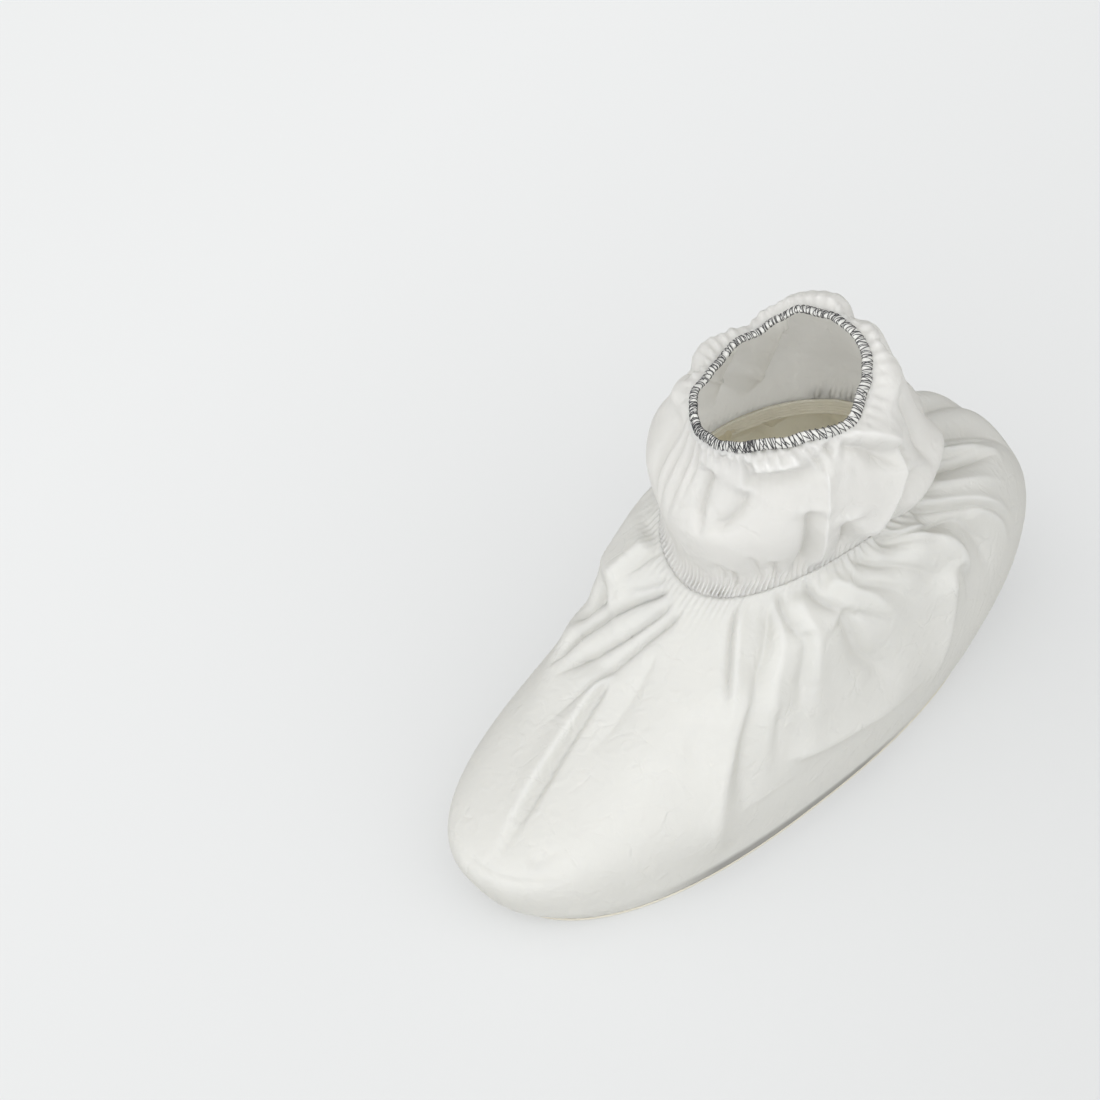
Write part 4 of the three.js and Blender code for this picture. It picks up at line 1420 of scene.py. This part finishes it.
@dataclass
class HemRoll:
    """The rolled elastic edge at the top of the cuff, sewn over with dark overlock thread.

    Sizes are in millimetres. pucker is the share by which the roll swells and narrows, and pucker_up the
    part of it that shows in its width. stitch_shift is a share of the spacing of the loops of thread.
    Leans are in radians, and knot is the mean and the spread of the places of a bunch of stitches, as
    shares of the way round.
    """

    stations: int = 720
    corners: int = 14
    pucker: float = 0.16
    pucker_up: float = 0.3
    pucker_pitch: float = 3.1
    sway_mm: float = 0.8
    sway_length: float = 4.0
    stitch_pitch: float = 2.0
    stitch_shift: float = 0.55
    thread_mm: float = 0.44
    thread_clear: float = 0.1
    loop_points: int = 16
    thread_points: int = 5
    lean: float = 0.2
    lean_spread: float = 0.28
    seed: int = 97
    girth: float = HEM_GIRTH
    knot: tuple[float, float] = (0.10, 0.014)
    knot_stitches: int = 14
    knot_lean: float = 0.7
    node: str = "hem_roll"
    slot: str = "hem_overlock"

    def line(self, share: Array) -> tuple[Array, Array, Array]:
        """Find the roll's centre line.

        Args:
            share: Shares of the way round.

        Returns:
            Places on the line, directions out of the cuff and directions up its wall.
        """
        unblended = 0.01
        loft = Loft(CUFF_SECTIONS, CUFF_LIFT)
        angle = np.asarray(share) * TURN
        top = np.ones_like(angle)
        rise, normal = loft.rise(angle, top), loft.normal(angle, top)
        sway_stations = self.stations * self.sway_length / self.girth
        drift = self.sway_mm * soft_noise(2, self.stations, unblended, sway_stations, self.seed)
        station = np.linspace(0, 1, self.stations, endpoint=False)
        out, up = (np.interp(share, station, row, period=1) for row in drift)
        middle = loft.edge(angle, True) + rise * (HEM_WIDTH / 2 + PIECE_GAP + up)[:, None]
        return middle + normal * (out - SOLID_WALL / 2)[:, None], normal, rise

    def build(self) -> bpy.types.Object:
        """Sweep the puckered roll round the hem.

        Returns:
            The roll.
        """
        share = np.linspace(0, 1, self.stations, endpoint=False)
        middle, normal, rise = self.line(share)
        turn = np.linspace(0, TURN, self.corners, endpoint=False)
        count = round(self.girth / self.pucker_pitch)
        swell = 1 + self.pucker * np.cos(TURN * count * share)[:, None]
        rings = (
            middle[:, None]
            + (np.cos(turn) * HEM_THICKNESS / 2 * swell)[..., None] * normal[:, None]
            + (np.sin(turn) * HEM_WIDTH / 2 * (1 + self.pucker_up * (swell - 1)))[..., None] * rise[:, None]
        )
        return swept_ring(self.node + "_cloth", rings, HEM_CLOTH.material())

    def stitch_sizes(self) -> dict[str, float]:
        """Sizes of the stitches in metres, by the names of the tree's inputs."""
        sizes = {"Thread": self.thread_mm, "Band Width": HEM_WIDTH, "Band Thickness": HEM_THICKNESS}
        return {name: size * MM for name, size in sizes.items()}

    def stitch_tree(self, material: bpy.types.Material) -> bpy.types.NodeTree:
        """Build the geometry nodes that lay a loop of thread round the roll at every point.

        Args:
            material: Finish of the thread.

        Returns:
            The tree.
        """
        tree = bpy.data.node_groups.new("overlock_stitches", "GeometryNodeTree")
        tree.interface.new_socket("Geometry", in_out="INPUT", socket_type="NodeSocketGeometry")
        for name, size in self.stitch_sizes().items():
            socket = tree.interface.new_socket(name, in_out="INPUT", socket_type="NodeSocketFloat")
            socket.default_value = size
        tree.interface.new_socket("Seed", in_out="INPUT", socket_type="NodeSocketInt")
        tree.interface.new_socket("Geometry", in_out="OUTPUT", socket_type="NodeSocketGeometry")
        given = tree.nodes.new("NodeGroupInput").outputs
        half = {
            name: add_node(
                tree, "ShaderNodeMath", {"operation": "MULTIPLY_ADD", 1: 0.5, 2: self.thread_clear * MM},
                {0: given[name]},
            ).outputs[0]
            for name in ("Band Width", "Band Thickness")
        }
        radius = add_node(tree, "ShaderNodeMath", {"operation": "MULTIPLY", 1: 0.5}, {0: given["Thread"]})
        circle = add_node(
            tree, "GeometryNodeCurvePrimitiveCircle", {"Resolution": self.loop_points, "Radius": 1.0}, {},
        )
        oval = add_node(
            tree, "ShaderNodeCombineXYZ", {"Z": 1.0}, {"X": half["Band Thickness"], "Y": half["Band Width"]},
        )
        loop = add_node(
            tree, "GeometryNodeTransform", {},
            {"Geometry": circle.outputs["Curve"], "Scale": oval.outputs[0]},
        )
        round_thread = add_node(
            tree, "GeometryNodeCurvePrimitiveCircle", {"Resolution": self.thread_points},
            {"Radius": radius.outputs[0]},
        )
        strand = add_node(
            tree, "GeometryNodeCurveToMesh", {},
            {"Curve": loop.outputs[0], "Profile Curve": round_thread.outputs["Curve"]},
        )
        axes = {
            name: add_node(
                tree, "GeometryNodeInputNamedAttribute", {"data_type": "FLOAT_VECTOR", "Name": name}, {},
            ).outputs["Attribute"]
            for name in ("outward", "rise")
        }
        lean = add_node(tree, "GeometryNodeInputNamedAttribute", {"data_type": "FLOAT", "Name": "lean"}, {})
        uneven = add_node(
            tree, "FunctionNodeRandomValue",
            {"data_type": "FLOAT", 2: -self.lean_spread, 3: self.lean_spread}, {"Seed": given["Seed"]},
        )
        tilt = add_node(
            tree, "ShaderNodeMath", {"operation": "ADD"},
            {0: lean.outputs["Attribute"], 1: uneven.outputs[1]},
        )
        turn = add_node(tree, "ShaderNodeCombineXYZ", {}, {"X": tilt.outputs[0]})
        stand = add_node(
            tree, "FunctionNodeAxesToRotation", {"primary_axis": "X", "secondary_axis": "Y"},
            {"Primary Axis": axes["outward"], "Secondary Axis": axes["rise"]},
        )
        turned = add_node(
            tree, "FunctionNodeRotateRotation", {"rotation_space": "LOCAL"},
            {0: stand.outputs[0], 1: turn.outputs[0]},
        )
        laid = add_node(
            tree, "GeometryNodeInstanceOnPoints", {},
            {"Points": given["Geometry"], "Instance": strand.outputs[0], "Rotation": turned.outputs[0]},
        )
        real = add_node(tree, "GeometryNodeRealizeInstances", {}, {"Geometry": laid.outputs[0]})
        dressed = add_node(
            tree, "GeometryNodeSetMaterial", {"Material": material}, {"Geometry": real.outputs[0]},
        )
        add_node(tree, "NodeGroupOutput", {}, {0: dressed.outputs[0]})
        return tree

    def stitch_points(self) -> bpy.types.Object:
        """Make a point for each loop of thread, two at every pitch, which lean either way.

        Returns:
            The points, with the directions that the loops take.
        """
        rng = np.random.default_rng(self.seed)
        pitches = 2 * round(self.girth / self.stitch_pitch / 2)
        count = 2 * pitches
        even = (np.arange(count) + rng.uniform(-self.stitch_shift, self.stitch_shift, count)) / count
        knot = rng.normal(*self.knot, self.knot_stitches)
        share = np.concatenate([even, knot]) % 1
        lean = np.where(np.arange(count) % 2 == 0, self.lean, -self.lean)
        lean = np.concatenate([lean, rng.uniform(-self.knot_lean, self.knot_lean, self.knot_stitches)])
        middle, normal, rise = self.line(share)
        mesh = bpy.data.meshes.new("hem_stitches")
        mesh.from_pydata((middle * MM).tolist(), [], [])
        for name, values in (("outward", normal), ("rise", rise)):
            mesh.attributes.new(name, "FLOAT_VECTOR", "POINT").data.foreach_set("vector", values.ravel())
        mesh.attributes.new("lean", "FLOAT", "POINT").data.foreach_set("value", lean)
        points = bpy.data.objects.new("hem_stitch_points", mesh)
        bpy.context.scene.collection.objects.link(points)
        return points

    def stitch(self) -> bpy.types.Object:
        """Lay the overlock stitches and make them a plain mesh.

        Returns:
            The thread.
        """
        material = DARK_THREAD.material()
        points = self.stitch_points()
        tree = self.stitch_tree(material)
        modifier = points.modifiers.new("overlock", "NODES")
        modifier.node_group = tree
        sockets = {item.name: item.identifier for item in tree.interface.items_tree if item.in_out == "INPUT"}
        for name, value in {**self.stitch_sizes(), "Seed": self.seed}.items():
            modifier[sockets[name]] = value
        shown = points.evaluated_get(bpy.context.evaluated_depsgraph_get())
        mesh = bpy.data.meshes.new_from_object(shown)
        mesh.name = "hem_overlock_thread"
        points.modifiers.remove(modifier)
        bpy.data.objects.remove(points)
        thread = bpy.data.objects.new("hem_overlock_thread", mesh)
        bpy.context.scene.collection.objects.link(thread)
        return thread

    def dress(self, roll: bpy.types.Object, thread: bpy.types.Object) -> None:
        """Tell the frame what the roll and its thread stand for.

        Args:
            roll: The roll.
            thread: Its thread, which stands for no node of the solids.
        """
        stand_for(roll, self.node)
        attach(thread, BODY)


@dataclass
class Studio:
    """Pale floor, soft light and the camera.

    Angles are in degrees, and lengths in metres unless named otherwise. The floor's shades are strengths of
    its painted glow, and the sky's the strengths of its light, each from one end of its gradient to the
    other.
    """

    azimuth: float = 46.5
    elevation: float = 45.0
    distance: float = 2.0
    focal_pixels: float = 4040.0
    image_pixels: float = 1100.0
    origin_pixel: tuple[float, float] = (742.5, 729.0)
    origin_shift: tuple[float, float, float] = (-0.000333, -0.000082, 0.0)
    sensor_mm: float = 36.0
    view_end: float = 20.0
    floor_half: float = 4.0
    floor_height: float = -0.0004
    floor_fade: float = 0.5
    floor_glow_strengths: tuple[float, float] = (0.52, 0.38)
    sky_front: float = 0.98
    sky_left: float = 0.2
    sky_shades: tuple[float, float] = (0.2, 2.2)
    lamp_front: float = 1.2
    lamp_left: float = 0.3
    lamp_height: float = 1.7
    lamp_size: float = 1.2
    lamp_watts: float = 6.0

    def axes(self) -> tuple[Vector, Vector, Vector]:
        """Find the camera's directions.

        Returns:
            Right, up and back.
        """
        azimuth, elevation = math.radians(self.azimuth), math.radians(self.elevation)
        right = Vector((math.cos(azimuth), math.sin(azimuth), 0))
        flat = math.cos(elevation)
        back = Vector((math.sin(azimuth) * flat, -math.cos(azimuth) * flat, math.sin(elevation)))
        return right, back.cross(right), back

    def camera(self) -> None:
        """Stand the camera so that the floor under the cover's middle lies on its pixel."""
        right, up, back = self.axes()
        across = (self.origin_pixel[0] - self.image_pixels / 2) / self.focal_pixels
        down = (self.origin_pixel[1] - self.image_pixels / 2) / self.focal_pixels
        eye = Vector(self.origin_shift) - self.distance * (across * right - down * up - back)
        data = bpy.data.cameras.new("camera")
        data.sensor_width = self.sensor_mm
        data.lens = self.sensor_mm * self.focal_pixels / self.image_pixels
        data.clip_end = self.view_end
        camera = bpy.data.objects.new("camera", data)
        turn = Matrix((right, up, back)).transposed().to_4x4()
        camera.matrix_world = Matrix.Translation(eye) @ turn
        bpy.context.scene.collection.objects.link(camera)
        bpy.context.scene.camera = camera

    def floor(self) -> None:
        """Lay a grey matt floor just under the sole, made pale by a painted glow that is darker to the right
        and the front, as painted light falloff, and that also fills in the shadows on it.
        """
        mesh = bpy.data.meshes.new("floor")
        signs = ((-1, -1), (1, -1), (1, 1), (-1, 1))
        corners = [(x * self.floor_half, y * self.floor_half, self.floor_height) for x, y in signs]
        mesh.from_pydata(corners, [], [(0, 1, 2, 3)])
        paint, shader, where = new_finish("floor_with_painted_glow")
        tree = paint.node_tree
        right, _, back = self.axes()
        light, dark = self.floor_glow_strengths
        across = add_node(
            tree, "ShaderNodeVectorMath", {"operation": "DOT_PRODUCT", 1: right + back}, {0: where},
        )
        shade = add_node(
            tree, "ShaderNodeMapRange",
            {"From Min": -self.floor_fade, "From Max": self.floor_fade, "To Min": light, "To Max": dark},
            {"Value": across.outputs["Value"]},
        )
        # Painted light: the floor's emission glows in a gradient and fills in the shadows cast on it
        tree.links.new(shade.outputs[0], shader.inputs["Emission Strength"])
        set_inputs(shader, {
            "Base Color": hex_colour("#9fa0a0"), "Emission Color": hex_colour("#e9eaea"), "Roughness": 0.9,
            "Specular IOR Level": 0.1,
        })
        mesh.materials.append(paint)
        floor = bpy.data.objects.new("floor", mesh)
        bpy.context.scene.collection.objects.link(floor)

    def lights(self) -> None:
        """Light the cover by a soft sky that falls off to the back, with a broad lamp above the front."""
        world = bpy.data.worlds.new("studio")
        bpy.context.scene.world = world
        world.use_nodes = True
        sky = world.node_tree.nodes["Background"]
        set_inputs(sky, {"Color": hex_colour("#ffffff")})
        right, _, back = self.axes()
        front = Vector((back.x, back.y, 0)).normalized()
        brightest = self.sky_front * front - self.sky_left * right
        dark, light = self.sky_shades
        tree = world.node_tree
        where = add_node(tree, "ShaderNodeTexCoord", {}, {}).outputs["Generated"]
        facing = add_node(
            tree, "ShaderNodeVectorMath", {"operation": "DOT_PRODUCT", 1: brightest}, {0: where},
        )
        shade = add_node(
            tree, "ShaderNodeMapRange", {"From Min": -1.0, "From Max": 1.0, "To Min": dark, "To Max": light},
            {"Value": facing.outputs["Value"]},
        )
        tree.links.new(shade.outputs[0], sky.inputs["Strength"])
        self.lamp(self.lamp_front * front - self.lamp_left * right + Vector((0, 0, self.lamp_height)))
        bpy.context.scene.view_settings.view_transform = "Standard"

    def lamp(self, place: Vector) -> None:
        """Add the square lamp, which faces the cover.

        Args:
            place: Where it hangs.
        """
        data = bpy.data.lights.new("overhead", "AREA")
        data.size = self.lamp_size
        data.energy = self.lamp_watts
        lamp = bpy.data.objects.new("overhead", data)
        lamp.location = place
        lamp.rotation_euler = (-place).to_track_quat("-Z", "Y").to_euler()
        bpy.context.scene.collection.objects.link(lamp)


def main() -> None:
    """Build every piece of the cover and the studio round it."""
    logging.basicConfig(level=logging.INFO, format="%(message)s")
    studio = Studio()
    studio.camera()
    studio.floor()
    studio.lights()
    upper = FootUpper(
        "foot_upper", "upper_cloth", UPPER_CLOTH, UPPER_FILM, Loft(UPPER_SECTIONS, UPPER_LIFT),
        rows=121, columns=600, inner_step=2, seed=11, settling=Settling(220, 0.2, 0.3),
        flat=(0.36, 0.46), area=0.118, folds=UPPER_FOLDS, creases=UPPER_CREASES, seams=UPPER_SEAMS,
    )
    cuff = AnkleCuff(
        "ankle_cuff", "cuff_cloth", CUFF_CLOTH, CUFF_FILM, Loft(CUFF_SECTIONS, CUFF_LIFT),
        rows=81, columns=720, inner_step=2, seed=23, settling=Settling(220, 0.2, 0.3),
        flat=(0.45, 0.105), area=0.044, folds=CUFF_FOLDS, creases=CUFF_CREASES, seams=CUFF_SEAMS,
    )
    sole, tape, hem = SolePanel(), AnkleElastic(), HemRoll()
    upper_piece = upper.build()
    cuff_piece = cuff.build()
    sole_piece = sole.build()
    tape_piece = tape.build()
    roll_piece = hem.build()
    thread_piece = hem.stitch()
    sole.dress(sole_piece)
    tape.dress(tape_piece)
    hem.dress(roll_piece, thread_piece)
    upper.dress(upper_piece, [tape_piece])
    cuff.dress(cuff_piece, [roll_piece, thread_piece])
    for piece in (upper_piece, cuff_piece, sole_piece, tape_piece, roll_piece, thread_piece):
        LOG.info("%s: %d faces", piece.name, len(piece.data.polygons))


if __name__ == "__main__":
    main()
